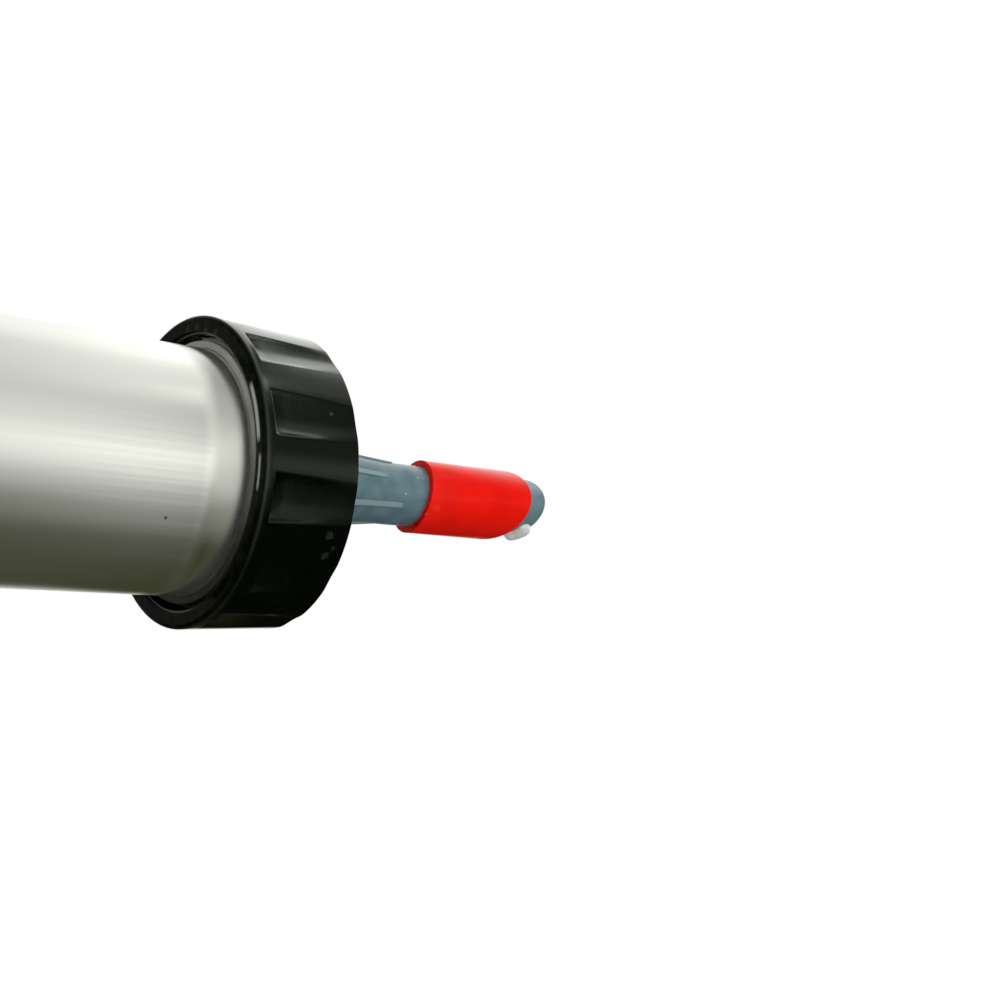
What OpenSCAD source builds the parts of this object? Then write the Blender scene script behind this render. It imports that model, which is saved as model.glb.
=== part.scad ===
// Caulk tube: an aluminium barrel with a screw-on collar that holds a sealant
// cartridge, its slanted nozzle and the sleeve on the nozzle.
// The axis is Z, the rear end stands on Z = 0 and the nozzle points up.
// Angles around the axis are counted from +X.

/* [Barrel] */
// Wall of the barrel tube
barrel_wall = 1.5; // [1:0.1:2]
// Length of the barrel tube
barrel_length = 225; // [170:1:260]
// Chamfer on the barrel's end edges
barrel_chamfer = 0.4; // [0.2:0.1:0.6]

/* [Socket ring] */
// Length of the ring in the rear end, on which the cartridge stands
socket_length = 14; // [8:1:24]
// Wall of the ring
socket_wall = 3.45; // [2.5:0.05:6]
// Chamfer at the mouth of the ring's bore
socket_chamfer = 1; // [0.5:0.1:1.5]

/* [Thread ring] */
// Wall of the aluminium ring that carries the thread
ring_wall = 2.6; // [2:0.1:3]
// How far the ring's rear face lies inside the collar's mouth
ring_setback = 1.1; // [0.5:0.1:4]
// Chamfer on the ring's outer edges
ring_chamfer = 0.5; // [0.2:0.1:0.8]

/* [Collar] */
// Outer diameter at the collar's rear rim
collar_rear_d = 70.8; // [68:0.1:74]
// Outer diameter at the collar's front
collar_front_d = 69; // [66:0.1:72]
// Wall around the thread's bore, at the collar's thinner end
collar_wall = 3.55; // [2.8:0.05:5]
// Width of the collar along the axis
collar_width = 24.4; // [20:0.1:30]
// Thickness of the front lip
lip_thickness = 3.6; // [2.5:0.1:5]
// How far the front lip reaches in past the thread's bore
lip_reach = 11.95; // [9:0.05:15]
// Rounding of the rear outer edge
collar_edge_round = 1; // [0.5:0.1:1.5]
// Rounding of the front outer edge
collar_front_round = 0.4; // [0.2:0.1:1]
// Rounding of the mouth and of the lip's opening
mouth_round = 1.2; // [0.6:0.1:1.6]
// Number of grip pockets
grip_count = 12; // [6:1:14]
// Depth of a pocket's floor below the collar's thinner end
grip_inset = 0.5; // [0.3:0.05:1]
// Radius of the hollow curve of a pocket's floor
grip_floor_curve = 24; // [16:1:40]
// Width of a pocket at its open top
grip_width = 10; // [6:0.1:11]
// Slope of a pocket's side walls, from the radial direction
grip_wall_slope = 38; // [10:1:45]
// Plain band behind the pockets
grip_band = 3; // [2:0.1:8]
// Angle of the first pocket
grip_start = 9.25; // [0:0.25:30]

/* [Slip washer] */
// Thickness of the washer between the cartridge and the lip
washer_thickness = 1.5; // [1:0.1:2.5]
// How far the washer's hole stands back from the lip's opening
washer_inset = 1; // [0.5:0.1:3]
// Depth of the groove that holds the washer in the collar
washer_groove_depth = 0.6; // [0.4:0.1:1]

/* [Cartridge] */
// Radial gap between the barrel and the cartridge
cartridge_gap = 1.5; // [1:0.1:2]
// Wall of the cartridge
cartridge_wall = 1.4; // [1:0.1:1.6]
// How far the shoulder stands out of the barrel
cartridge_proud = 2.3; // [1:0.1:4]
// Thickness of the shoulder
shoulder_thickness = 2.5; // [1.5:0.1:4]
// Rounding of the shoulder's edge
shoulder_round = 1.5; // [0.5:0.1:2]
// Diameter of the neck
neck_d = 15; // [14:0.1:15.4]
// Bore of the neck
neck_bore = 10; // [6:0.5:11]
// Length of the neck
neck_length = 14; // [10:0.5:15]

/* [Piston] */
// Height of the piston
piston_height = 22; // [16:1:30]
// How deep the piston's rear rim stands in the cartridge
piston_depth = 20; // [6:1:60]
// Wall of the piston's skirt and front
piston_wall = 1.6; // [1.2:0.1:2.5]
// Height of a sealing lip
piston_lip = 3; // [2:0.5:5]
// Relief between the two sealing lips
piston_relief = 0.5; // [0.3:0.1:0.8]
// Height of the piston's cone front
piston_crown = 5; // [2:0.5:8]

/* [Nozzle] */
// Length of the nozzle from its base to the middle of its tip
nozzle_length = 78.7; // [60:0.1:110]
// Outer diameter of the nozzle's tube
tube_d = 15.5; // [15.2:0.1:16.2]
// Wall of the nozzle's tube
tube_wall = 1.2; // [0.8:0.1:1.6]
// Outer diameter of the skirt
skirt_d = 20.8; // [19.5:0.1:22]
// Length of the skirt
skirt_length = 16.4; // [15.5:0.1:20]
// Length of the steep cone over the skirt
cone_length = 7; // [4:0.5:10]
// How far the cone's upper end stands out of the tube
cone_step = 0.85; // [0.4:0.05:1.5]
// Length of the slow taper between cone and tube
taper_length = 11; // [6:0.5:14]
// Number of ribs
rib_count = 7; // [3:1:8]
// Thickness of a rib
rib_thickness = 1.4; // [0.8:0.1:2]
// How far a rib stands out of the skirt and the cone
rib_height = 0.45; // [0.3:0.05:1]
// How far a rib stands out of the tube where it ends
rib_end_height = 0.3; // [0.2:0.05:0.6]
// Length of a rib past the end of the taper
rib_run = 0.4; // [0:0.1:4]
// Difference that makes the ribs long and short in turn
rib_stagger = 2.2; // [0:0.1:2.5]
// Angle of the first rib
rib_start = 9; // [0:0.5:50]
// Gap between the nozzle's base and the cartridge's shoulder
nozzle_seat_gap = 0.3; // [0.1:0.1:0.8]
// Angle of the slanted tip, and of the sleeve's front end
slant_angle = 34.5; // [0:0.5:40]
// Side on which both reach furthest
slant_side = 66; // [0:1:359]

/* [Sleeve] */
// Wall of the sleeve
sleeve_wall = 1.3; // [0.6:0.1:1.6]
// How far the nozzle's tip stands out of the sleeve's front end
tip_reach = 7.5; // [5:0.1:12]
// Angle of the sleeve's rear end, which is cut a little askew
sleeve_rear_angle = 11; // [0:0.5:15]
// Side on which the rear end stands back furthest from the ribs
sleeve_rear_side = 326; // [0:1:359]
// Distance from the longer ribs' ends to the sleeve's rear edge
sleeve_place = 6.6; // [6.3:0.1:9]

/* [Sealant] */
// Distance that the sealant stands back from the tip's lowest point
core_setback = 1.5; // [0.6:0.1:3]
// Radius of the roll of sealant that hangs over the nozzle's rim
lobe_r = 2.45; // [1.5:0.05:3]
// Distance from the axis to the roll's middle line
lobe_offset = 7; // [5:0.1:8]
// How deep the roll's middle line lies under the rim's plane
lobe_drop = 0.9; // [0:0.1:1.5]
// Side at which the roll begins
lobe_from = 143; // [100:1:160]
// Side at which the roll ends
lobe_to = 161; // [150:1:200]
// Radius of the dome over the nozzle's mouth
dome_r = 4.6; // [4:0.1:5]

/* [Clearances] */
// Radial gap of the screw threads
thread_gap = 0.3; // [0.2:0.05:0.5]
// Radial gap between pieces that slide or turn past each other
slide_gap = 0.3; // [0.2:0.05:0.4]
// Radial gap of pieces that are pressed or cast into each other
fit_gap = 0.05; // [0.02:0.01:0.1]
// Radial gap of the piston's lips
piston_gap = 0.15; // [0.1:0.05:0.3]

/* [Hidden] */
$fn = 96;

overlap = 0.5;
blob_fn = 28;

collar_rear_r = collar_rear_d / 2;
collar_front_r = collar_front_d / 2;
collar_thin_r = min(collar_rear_r, collar_front_r);
collar_bore_r = collar_thin_r - collar_wall;
ring_r = collar_bore_r - thread_gap;

barrel_r = ring_r - ring_wall - fit_gap;
barrel_bore_r = barrel_r - barrel_wall;
socket_bore_r = barrel_bore_r - fit_gap - socket_wall;

shoulder_z = barrel_length + cartridge_proud;
washer_top_z = shoulder_z + washer_thickness;
collar_front_z = washer_top_z + lip_thickness;
collar_rear_z = collar_front_z - collar_width;
ring_rear_z = collar_rear_z + ring_setback;

lip_opening_r = collar_bore_r - lip_reach;
groove_r = collar_bore_r + washer_groove_depth;
groove_rear_z = shoulder_z - slide_gap;
washer_r = groove_r - slide_gap;
washer_hole_r = lip_opening_r + washer_inset;
grip_floor_r = collar_thin_r - grip_inset;
grip_top_r = max(collar_rear_r, collar_front_r) + overlap;
grip_top_half = grip_width / 2 + (grip_top_r - collar_front_r) * tan(grip_wall_slope);
grip_depth = grip_top_r - grip_floor_r + overlap;
grip_bottom_half = grip_top_half - grip_depth * tan(grip_wall_slope);

cartridge_r = barrel_bore_r - cartridge_gap;
cartridge_bore_r = cartridge_r - cartridge_wall;
neck_r = neck_d / 2;
neck_bore_r = neck_bore / 2;
neck_top_z = shoulder_z + neck_length;
shoulder_inner_z = shoulder_z - shoulder_thickness;

piston_r = cartridge_bore_r - piston_gap;
piston_rear_z = socket_length + piston_depth;
piston_shoulder_z = piston_rear_z + piston_height - piston_crown;
piston_front_z = piston_rear_z + piston_height;
piston_front_r = piston_r * 0.55;

nozzle_base_z = shoulder_z + nozzle_seat_gap;
skirt_r = skirt_d / 2;
skirt_bore_r = neck_r + thread_gap;
skirt_top_z = nozzle_base_z + skirt_length;
cone_top_z = skirt_top_z + cone_length;
taper_top_z = cone_top_z + taper_length;
tube_r = tube_d / 2;
cone_top_r = tube_r + cone_step;
tube_bore_r = tube_r - tube_wall;
tip_z = nozzle_base_z + nozzle_length;
bore_step_z = neck_top_z + 3 * slide_gap;
tip_low_z = tip_z - tube_bore_r * tan(slant_angle);
core_top_z = tip_low_z - core_setback;
rib_end_z = taper_top_z + rib_run;

sleeve_bore_r = tube_r + slide_gap;
sleeve_r = sleeve_bore_r + sleeve_wall;
sleeve_rear_z = rib_end_z + rib_stagger + sleeve_place + sleeve_r * tan(sleeve_rear_angle);
sleeve_front_z = tip_z - tip_reach;

// What a rounded corner takes off, for a corner at the origin with its
// material at positive x and y.
module corner_cut(radius) {
    difference() {
        translate([-overlap, -overlap]) square(radius + overlap);
        translate([radius, radius]) circle(r = radius);
    }
}

// A block on a slanted plane that crosses the axis at height z: from the plane
// forwards, or backwards if it is the one behind.
module slanted_block(z, angle, side, behind = false) {
    reach = 4 * sleeve_r;
    translate([0, 0, z])
        rotate([0, 0, side])
            rotate([0, -angle, 0])
                translate([-reach, -reach, behind ? -2 * reach : 0])
                    cube([2 * reach, 2 * reach, 2 * reach]);
}

// All that lies beyond the tip's plane, moved to cross the axis at height z.
module beyond_slant(z) {
    slanted_block(z, slant_angle, slant_side);
}

module barrel_tube() {
    color("silver")
        rotate_extrude()
            polygon([
                [barrel_bore_r, 0],
                [barrel_r - barrel_chamfer, 0],
                [barrel_r, barrel_chamfer],
                [barrel_r, barrel_length - barrel_chamfer],
                [barrel_r - barrel_chamfer, barrel_length],
                [barrel_bore_r, barrel_length]
            ]);
}

module socket_ring() {
    color("darkgray")
        rotate_extrude()
            polygon([
                [socket_bore_r + socket_chamfer, 0],
                [barrel_bore_r - fit_gap, 0],
                [barrel_bore_r - fit_gap, socket_length],
                [socket_bore_r, socket_length],
                [socket_bore_r, socket_chamfer]
            ]);
}

module thread_ring() {
    inner_r = barrel_r + fit_gap;
    color("lightgray")
        rotate_extrude()
            polygon([
                [inner_r, ring_rear_z],
                [ring_r - ring_chamfer, ring_rear_z],
                [ring_r, ring_rear_z + ring_chamfer],
                [ring_r, barrel_length - ring_chamfer],
                [ring_r - ring_chamfer, barrel_length],
                [inner_r, barrel_length]
            ]);
}

// Half section of the collar: thread bore, washer groove and front lip.
module collar_section() {
    difference() {
        polygon([
            [collar_bore_r, collar_rear_z],
            [collar_rear_r, collar_rear_z],
            [collar_front_r, collar_front_z],
            [lip_opening_r, collar_front_z],
            [lip_opening_r, washer_top_z],
            [groove_r, washer_top_z],
            [groove_r, groove_rear_z],
            [collar_bore_r, groove_rear_z]
        ]);
        translate([collar_bore_r, collar_rear_z]) corner_cut(mouth_round);
        translate([collar_rear_r, collar_rear_z]) mirror([1, 0]) corner_cut(collar_edge_round);
        translate([collar_front_r, collar_front_z]) rotate(180) corner_cut(collar_front_round);
        translate([lip_opening_r, collar_front_z]) mirror([0, 1]) corner_cut(mouth_round);
    }
}

// One grip pocket: sloping side walls and a hollow floor, open at the front.
module grip_pocket() {
    translate([0, 0, collar_rear_z + grip_band])
        linear_extrude(height = collar_width)
            intersection() {
                polygon([
                    [grip_top_r, -grip_top_half],
                    [grip_top_r, grip_top_half],
                    [grip_top_r - grip_depth, grip_bottom_half],
                    [grip_top_r - grip_depth, -grip_bottom_half]
                ]);
                translate([grip_floor_r + grip_floor_curve, 0]) circle(r = grip_floor_curve);
            }
}

module collar() {
    color([0.06, 0.06, 0.06])
        difference() {
            rotate_extrude() collar_section();
            for (i = [0 : grip_count - 1])
                rotate([0, 0, grip_start + i * 360 / grip_count]) grip_pocket();
        }
}

module slip_washer() {
    color("whitesmoke")
        translate([0, 0, shoulder_z])
            difference() {
                cylinder(r = washer_r, h = washer_thickness);
                translate([0, 0, -overlap])
                    cylinder(r = washer_hole_r, h = washer_thickness + 2 * overlap);
            }
}

// The moulded cartridge: body, shoulder and neck in one piece.
module cartridge_shell() {
    color("white")
        rotate_extrude()
            difference() {
                polygon([
                    [cartridge_bore_r, socket_length],
                    [cartridge_r, socket_length],
                    [cartridge_r, shoulder_z],
                    [neck_r, shoulder_z],
                    [neck_r, neck_top_z],
                    [neck_bore_r, neck_top_z],
                    [neck_bore_r, shoulder_inner_z],
                    [cartridge_bore_r, shoulder_inner_z]
                ]);
                translate([cartridge_r, shoulder_z]) rotate(180) corner_cut(shoulder_round);
            }
}

// Half section of the piston's wall, with a sealing lip at each end.
module piston_section() {
    relief_r = piston_r - piston_relief;
    polygon([
        [0, piston_front_z],
        [piston_front_r, piston_front_z],
        [piston_r, piston_shoulder_z],
        [piston_r, piston_shoulder_z - piston_lip],
        [relief_r, piston_shoulder_z - piston_lip - piston_relief],
        [relief_r, piston_rear_z + piston_lip + piston_relief],
        [piston_r, piston_rear_z + piston_lip],
        [piston_r, piston_rear_z],
        [relief_r - piston_wall, piston_rear_z],
        [relief_r - piston_wall, piston_shoulder_z - piston_wall],
        [piston_front_r, piston_front_z - piston_wall],
        [0, piston_front_z - piston_wall]
    ]);
}

module cartridge_piston() {
    color("gainsboro")
        rotate_extrude() piston_section();
}

module sealant_fill() {
    fill_r = cartridge_bore_r - fit_gap;
    color("ivory")
        rotate_extrude()
            polygon([
                [0, piston_front_z],
                [piston_front_r, piston_front_z],
                [fill_r, piston_shoulder_z],
                [fill_r, shoulder_inner_z - fit_gap],
                [neck_bore_r - fit_gap, shoulder_inner_z - fit_gap],
                [neck_bore_r - fit_gap, neck_top_z],
                [0, neck_top_z]
            ]);
}

// One rib: a low bar that runs up the skirt and along the cone and taper to the tube.
module nozzle_rib(end_z) {
    rotate([90, 0, 0])
        translate([0, 0, -rib_thickness / 2])
            linear_extrude(height = rib_thickness)
                polygon([
                    [tube_bore_r, nozzle_base_z + rib_height],
                    [skirt_r, nozzle_base_z + rib_height],
                    [skirt_r + rib_height, nozzle_base_z + 2 * rib_height],
                    [skirt_r + rib_height, skirt_top_z],
                    [cone_top_r + rib_height, cone_top_z],
                    [tube_r + rib_end_height, end_z],
                    [tube_bore_r, end_z]
                ]);
}

module nozzle() {
    color([0.5, 0.58, 0.62, 0.8])
        difference() {
            union() {
                rotate_extrude()
                    polygon([
                        [0, nozzle_base_z],
                        [skirt_r, nozzle_base_z],
                        [skirt_r, skirt_top_z],
                        [cone_top_r, cone_top_z],
                        [tube_r, taper_top_z],
                        [tube_r, tip_z + tube_r],
                        [0, tip_z + tube_r]
                    ]);
                for (i = [0 : rib_count - 1])
                    rotate([0, 0, rib_start + i * 360 / rib_count])
                        nozzle_rib(rib_end_z + (i % 2 == 0 ? rib_stagger : -rib_stagger));
            }
            rotate_extrude()
                polygon([
                    [0, nozzle_base_z - overlap],
                    [skirt_bore_r, nozzle_base_z - overlap],
                    [skirt_bore_r, bore_step_z],
                    [tube_bore_r, taper_top_z],
                    [tube_bore_r, tip_z + 2 * tube_r],
                    [0, tip_z + 2 * tube_r]
                ]);
            beyond_slant(tip_z);
        }
}

// The sealant column between the neck and the slanted tip.
module nozzle_sealant() {
    color("ivory")
        rotate_extrude()
            polygon([
                [0, neck_top_z],
                [skirt_bore_r - slide_gap, neck_top_z],
                [skirt_bore_r - slide_gap, bore_step_z],
                [tube_bore_r - slide_gap, taper_top_z],
                [tube_bore_r - slide_gap, core_top_z],
                [0, core_top_z]
            ]);
}

// The dome over the mouth and the roll of sealant that hangs over the rim.
module bead_bulge() {
    hull() {
        translate([0, 0, tip_z - dome_r / 2]) sphere(r = dome_r, $fn = blob_fn);
        for (side = [lobe_from, lobe_to])
            rotate([0, 0, side])
                translate([
                    lobe_offset,
                    0,
                    tip_z - lobe_drop + lobe_offset * tan(slant_angle) * cos(side - slant_side)
                ])
                    sphere(r = lobe_r, $fn = blob_fn);
    }
}

// The room that the nozzle's wall takes up under the tip's plane.
module tip_wall_room(inner_r) {
    difference() {
        translate([0, 0, core_top_z]) cylinder(r = tube_r + fit_gap, h = 4 * tube_r);
        translate([0, 0, core_top_z - overlap]) cylinder(r = inner_r, h = 5 * tube_r);
        beyond_slant(tip_z + fit_gap);
    }
}

// Sealant that fills the slanted mouth and hangs out over its rim.
module tip_bead() {
    plug_r = tube_bore_r - fit_gap;
    color("ivory") {
        difference() {
            translate([0, 0, core_top_z]) cylinder(r = plug_r, h = tip_z + tube_r - core_top_z);
            beyond_slant(tip_z + fit_gap + overlap);
        }
        difference() {
            bead_bulge();
            tip_wall_room(plug_r);
            translate([0, 0, core_top_z - 2 * dome_r]) cylinder(r = tube_r, h = 2 * dome_r);
        }
    }
}

module nozzle_sleeve() {
    color("red")
        difference() {
            translate([0, 0, rib_end_z])
                cylinder(r = sleeve_r, h = tip_z - rib_end_z);
            translate([0, 0, rib_end_z - overlap])
                cylinder(r = sleeve_bore_r, h = tip_z - rib_end_z + 2 * overlap);
            beyond_slant(sleeve_front_z);
            slanted_block(sleeve_rear_z, sleeve_rear_angle, sleeve_rear_side, behind = true);
        }
}

barrel_tube();
socket_ring();
thread_ring();
collar();
slip_washer();
cartridge_shell();
cartridge_piston();
sealant_fill();
nozzle();
nozzle_sealant();
tip_bead();
nozzle_sleeve();
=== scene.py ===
"""Caulk tube, dressed: an aluminium barrel with a black collar, a slanted nozzle and a red sleeve.

Every piece is in metres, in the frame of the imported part: Z runs along the tube, the rear end
stands on Z = 0, and angles around the axis are counted from +X, the side that is up in the photo.
"""
import logging
import math
from dataclasses import dataclass, field
from enum import Enum
from typing import Iterable, Sequence

import bmesh
import bpy
from mathutils import Matrix, Vector, noise


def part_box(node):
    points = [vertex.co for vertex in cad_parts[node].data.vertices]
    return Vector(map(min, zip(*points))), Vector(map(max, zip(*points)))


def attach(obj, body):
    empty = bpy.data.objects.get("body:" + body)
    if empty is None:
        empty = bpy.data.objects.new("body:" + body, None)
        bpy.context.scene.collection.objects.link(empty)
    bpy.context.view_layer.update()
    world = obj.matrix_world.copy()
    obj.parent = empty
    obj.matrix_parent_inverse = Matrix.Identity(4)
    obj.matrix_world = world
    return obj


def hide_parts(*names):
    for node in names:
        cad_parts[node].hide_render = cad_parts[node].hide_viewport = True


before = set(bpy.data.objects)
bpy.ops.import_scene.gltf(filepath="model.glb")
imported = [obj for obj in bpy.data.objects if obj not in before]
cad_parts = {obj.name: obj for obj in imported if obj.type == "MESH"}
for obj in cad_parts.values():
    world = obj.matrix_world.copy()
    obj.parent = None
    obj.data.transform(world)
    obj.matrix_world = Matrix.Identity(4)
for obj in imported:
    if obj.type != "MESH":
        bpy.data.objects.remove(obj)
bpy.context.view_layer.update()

LOG = logging.getLogger("caulk_tube")
MM = 0.001
TINY = 1e-6
HAIR = 0.05 * MM  # Gap between pieces that touch, and how deep a ridge sits in its wall.
NOISE_LOW, NOISE_HIGH = 0.3, 0.7  # Between these a noise has most of its values.
LEAD, LEAD_ROOM = 1.15, 2.6  # A rounding's further points, and how much straight part they need.


class Body(Enum):
    """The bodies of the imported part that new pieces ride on."""

    BARREL = "barrel"
    COLLAR = "collar"
    NOZZLE = "nozzle"
    SLEEVE = "sleeve"


class Slot(Enum):
    """The material slots of the part's record that new pieces have."""

    BARREL = "barrel_metal"
    RING = "ring_metal"
    COLLAR = "collar_plastic"
    CARTRIDGE = "cartridge_plastic"
    SEALANT = "sealant"
    NOZZLE = "nozzle_plastic"
    SLEEVE = "sleeve_plastic"


def srgb(red: int, green: int, blue: int) -> tuple[float, float, float, float]:
    """Linear colour of an 8-bit display colour.

    Args:
        red, green, blue: Display values from 0 to 255.

    Returns:
        Linear red, green and blue, and an alpha of 1.
    """
    def linear(value: int) -> float:
        """Linear share of one display value."""
        share = value / 255
        return share / 12.92 if share <= 0.04045 else ((share + 0.055) / 1.055) ** 2.4

    return linear(red), linear(green), linear(blue), 1.0


def polar(radius: float, degrees: float, height: float) -> Vector:
    """Point at a radius, an angle around the axis and a height.

    Args:
        radius: Distance from the axis.
        degrees: Angle from +X.
        height: Height above the rear end.

    Returns:
        The point.
    """
    angle = math.radians(degrees)
    return Vector((radius * math.cos(angle), radius * math.sin(angle), height))


@dataclass(frozen=True)
class Corner:
    """One corner of a lathe profile: radius from the axis, height, and the radius of its rounding."""

    r: float
    z: float
    rounding: float = 0.0


def rounded(corners: Sequence[Corner], closed: bool = True, steps: int = 6) -> list[Vector]:
    """Points of a profile whose corners are rounded by tangent arcs.

    Each arc has a further point on the straight part at either end, so that the flat faces beside
    it shade flat.

    Args:
        corners: The profile's corners in order.
        closed: Whether the last corner joins the first.
        steps: Segments of each arc.

    Returns:
        Points in the XZ plane.
    """
    points: list[Vector] = []
    count = len(corners)
    for i, corner in enumerate(corners):
        here = Vector((corner.r, 0.0, corner.z))
        is_end = not closed and i in (0, count - 1)
        if corner.rounding <= 0 or is_end:
            points.append(here)
            continue
        before, after = corners[i - 1], corners[(i + 1) % count]
        to_before = Vector((before.r, 0.0, before.z)) - here
        to_after = Vector((after.r, 0.0, after.z)) - here
        sides = (to_before.length, to_after.length)
        to_before.normalize()
        to_after.normalize()
        half = to_before.angle(to_after) / 2
        centre = here + (to_before + to_after).normalized() * corner.rounding / math.sin(half)
        reach = corner.rounding / math.tan(half)
        first = here + to_before * reach - centre
        last = here + to_after * reach - centre
        if LEAD_ROOM * reach < sides[0]:
            points.append(here + to_before * reach * LEAD)
        for k in range(steps + 1):
            arm = first.lerp(last, k / steps).normalized() * corner.rounding
            points.append(centre + arm)
        if LEAD_ROOM * reach < sides[1]:
            points.append(here + to_after * reach * LEAD)
    return points


def spin_profile(points: Sequence[Vector], closed: bool, steps: int) -> bmesh.types.BMesh:
    """Shell of revolution about Z.

    Args:
        points: Profile in the XZ plane, in order.
        closed: Whether the last point joins the first.
        steps: Segments of the full turn.

    Returns:
        A new mesh whose faces point outwards.
    """
    bm = bmesh.new()
    verts = [bm.verts.new(p) for p in points]
    pairs = list(zip(verts, verts[1:]))
    if closed:
        pairs.append((verts[-1], verts[0]))
    edges = [bm.edges.new(pair) for pair in pairs]
    bmesh.ops.spin(
        bm, geom=verts + edges, cent=(0, 0, 0), axis=(0, 0, 1), angle=math.tau,
        steps=steps, use_merge=True,
    )
    weld(bm)
    return bm


def weld(bm: bmesh.types.BMesh, distance: float = 0.001 * MM) -> None:
    """Merge doubled points, then turn all faces outwards."""
    bmesh.ops.remove_doubles(bm, verts=bm.verts, dist=distance)
    bmesh.ops.recalc_face_normals(bm, faces=bm.faces)


def repeat_round(bm: bmesh.types.BMesh, count: int) -> None:
    """Repeat a sector around Z until it closes, and weld the seams.

    Args:
        bm: Mesh that holds one sector.
        count: Number of sectors in the full turn.
    """
    geom = bm.verts[:] + bm.edges[:] + bm.faces[:]
    bmesh.ops.spin(
        bm, geom=geom, cent=(0, 0, 0), axis=(0, 0, 1),
        angle=math.tau * (count - 1) / count, steps=count - 1, use_duplicate=True,
    )
    weld(bm, 0.01 * MM)


def round_edges(
    bm: bmesh.types.BMesh, edges: Iterable[bmesh.types.BMEdge], width: float, steps: int = 2
) -> None:
    """Round edges with a circular bevel.

    Args:
        bm: The mesh.
        edges: The edges to round.
        width: Width of the bevel.
        steps: Segments of the bevel.
    """
    bmesh.ops.bevel(
        bm, geom=list(edges), offset=width, offset_type="OFFSET", affect="EDGES",
        segments=steps, profile=0.5, clamp_overlap=True, material=-1,
    )


def sharp_edges(bm: bmesh.types.BMesh, degrees: float) -> list[bmesh.types.BMEdge]:
    """Edges between two faces that meet at more than an angle."""
    limit = math.radians(degrees)
    return [e for e in bm.edges if len(e.link_faces) == 2 and e.calc_face_angle(0.0) > limit]


def cut_slant(
    bm: bmesh.types.BMesh, height: float, slant: "Slant", behind: bool = False
) -> list[bmesh.types.BMEdge]:
    """Cut the mesh off along a slanted plane and close the cut between its two rims.

    Args:
        bm: An open or closed tube.
        height: Height at which the plane crosses the axis.
        slant: Angle and side of the plane.
        behind: Whether the part behind the plane is taken off, and not the part beyond it.

    Returns:
        The edges of the two rims.
    """
    origin, normal = Vector((0, 0, height)), slant.normal()
    bmesh.ops.bisect_plane(
        bm, geom=bm.verts[:] + bm.edges[:] + bm.faces[:], dist=TINY,
        plane_co=origin, plane_no=normal, clear_outer=not behind, clear_inner=behind,
    )
    rims = [
        e for e in bm.edges
        if e.is_boundary and all(abs((v.co - origin).dot(normal)) < 0.01 * MM for v in e.verts)
    ]
    bmesh.ops.bridge_loops(bm, edges=rims)
    bmesh.ops.recalc_face_normals(bm, faces=bm.faces)
    return rims


@dataclass(frozen=True)
class Slant:
    """A slanted cut: its angle, and the side that reaches furthest along the tube."""

    angle: float = 34.5
    side: float = 66.0

    def normal(self) -> Vector:
        """Upward normal of the cut's plane, which leans away from its high side."""
        tilt = math.radians(self.angle)
        return polar(-math.sin(tilt), self.side, math.cos(tilt))


@dataclass
class Piece:
    """A finished mesh piece: its name, the body it rides on, its slot and what it replaces."""

    name: str
    body: Body
    slot: Slot
    replaced: tuple[str, ...] = ()

    def place(
        self, bm: bmesh.types.BMesh, material: bpy.types.Material, sharp_above: float = 40.0
    ) -> bpy.types.Object:
        """Turn a mesh into an object, dress it and tie it to the frame.

        Args:
            bm: The mesh, which is freed.
            material: The finish.
            sharp_above: Face angle in degrees above which an edge stays sharp.

        Returns:
            The new object.
        """
        for face in bm.faces:
            face.smooth = True
        for edge in sharp_edges(bm, sharp_above):
            edge.smooth = False
        mesh = bpy.data.meshes.new(self.name)
        bm.to_mesh(mesh)
        bm.free()
        mesh.materials.append(material)
        obj = bpy.data.objects.new(self.name, mesh)
        bpy.context.scene.collection.objects.link(obj)
        if self.replaced:
            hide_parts(*self.replaced)
        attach(obj, self.body.value)
        LOG.info("%s: %d faces, rides on %s", self.name, len(mesh.polygons), self.body.value)
        return obj


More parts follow.
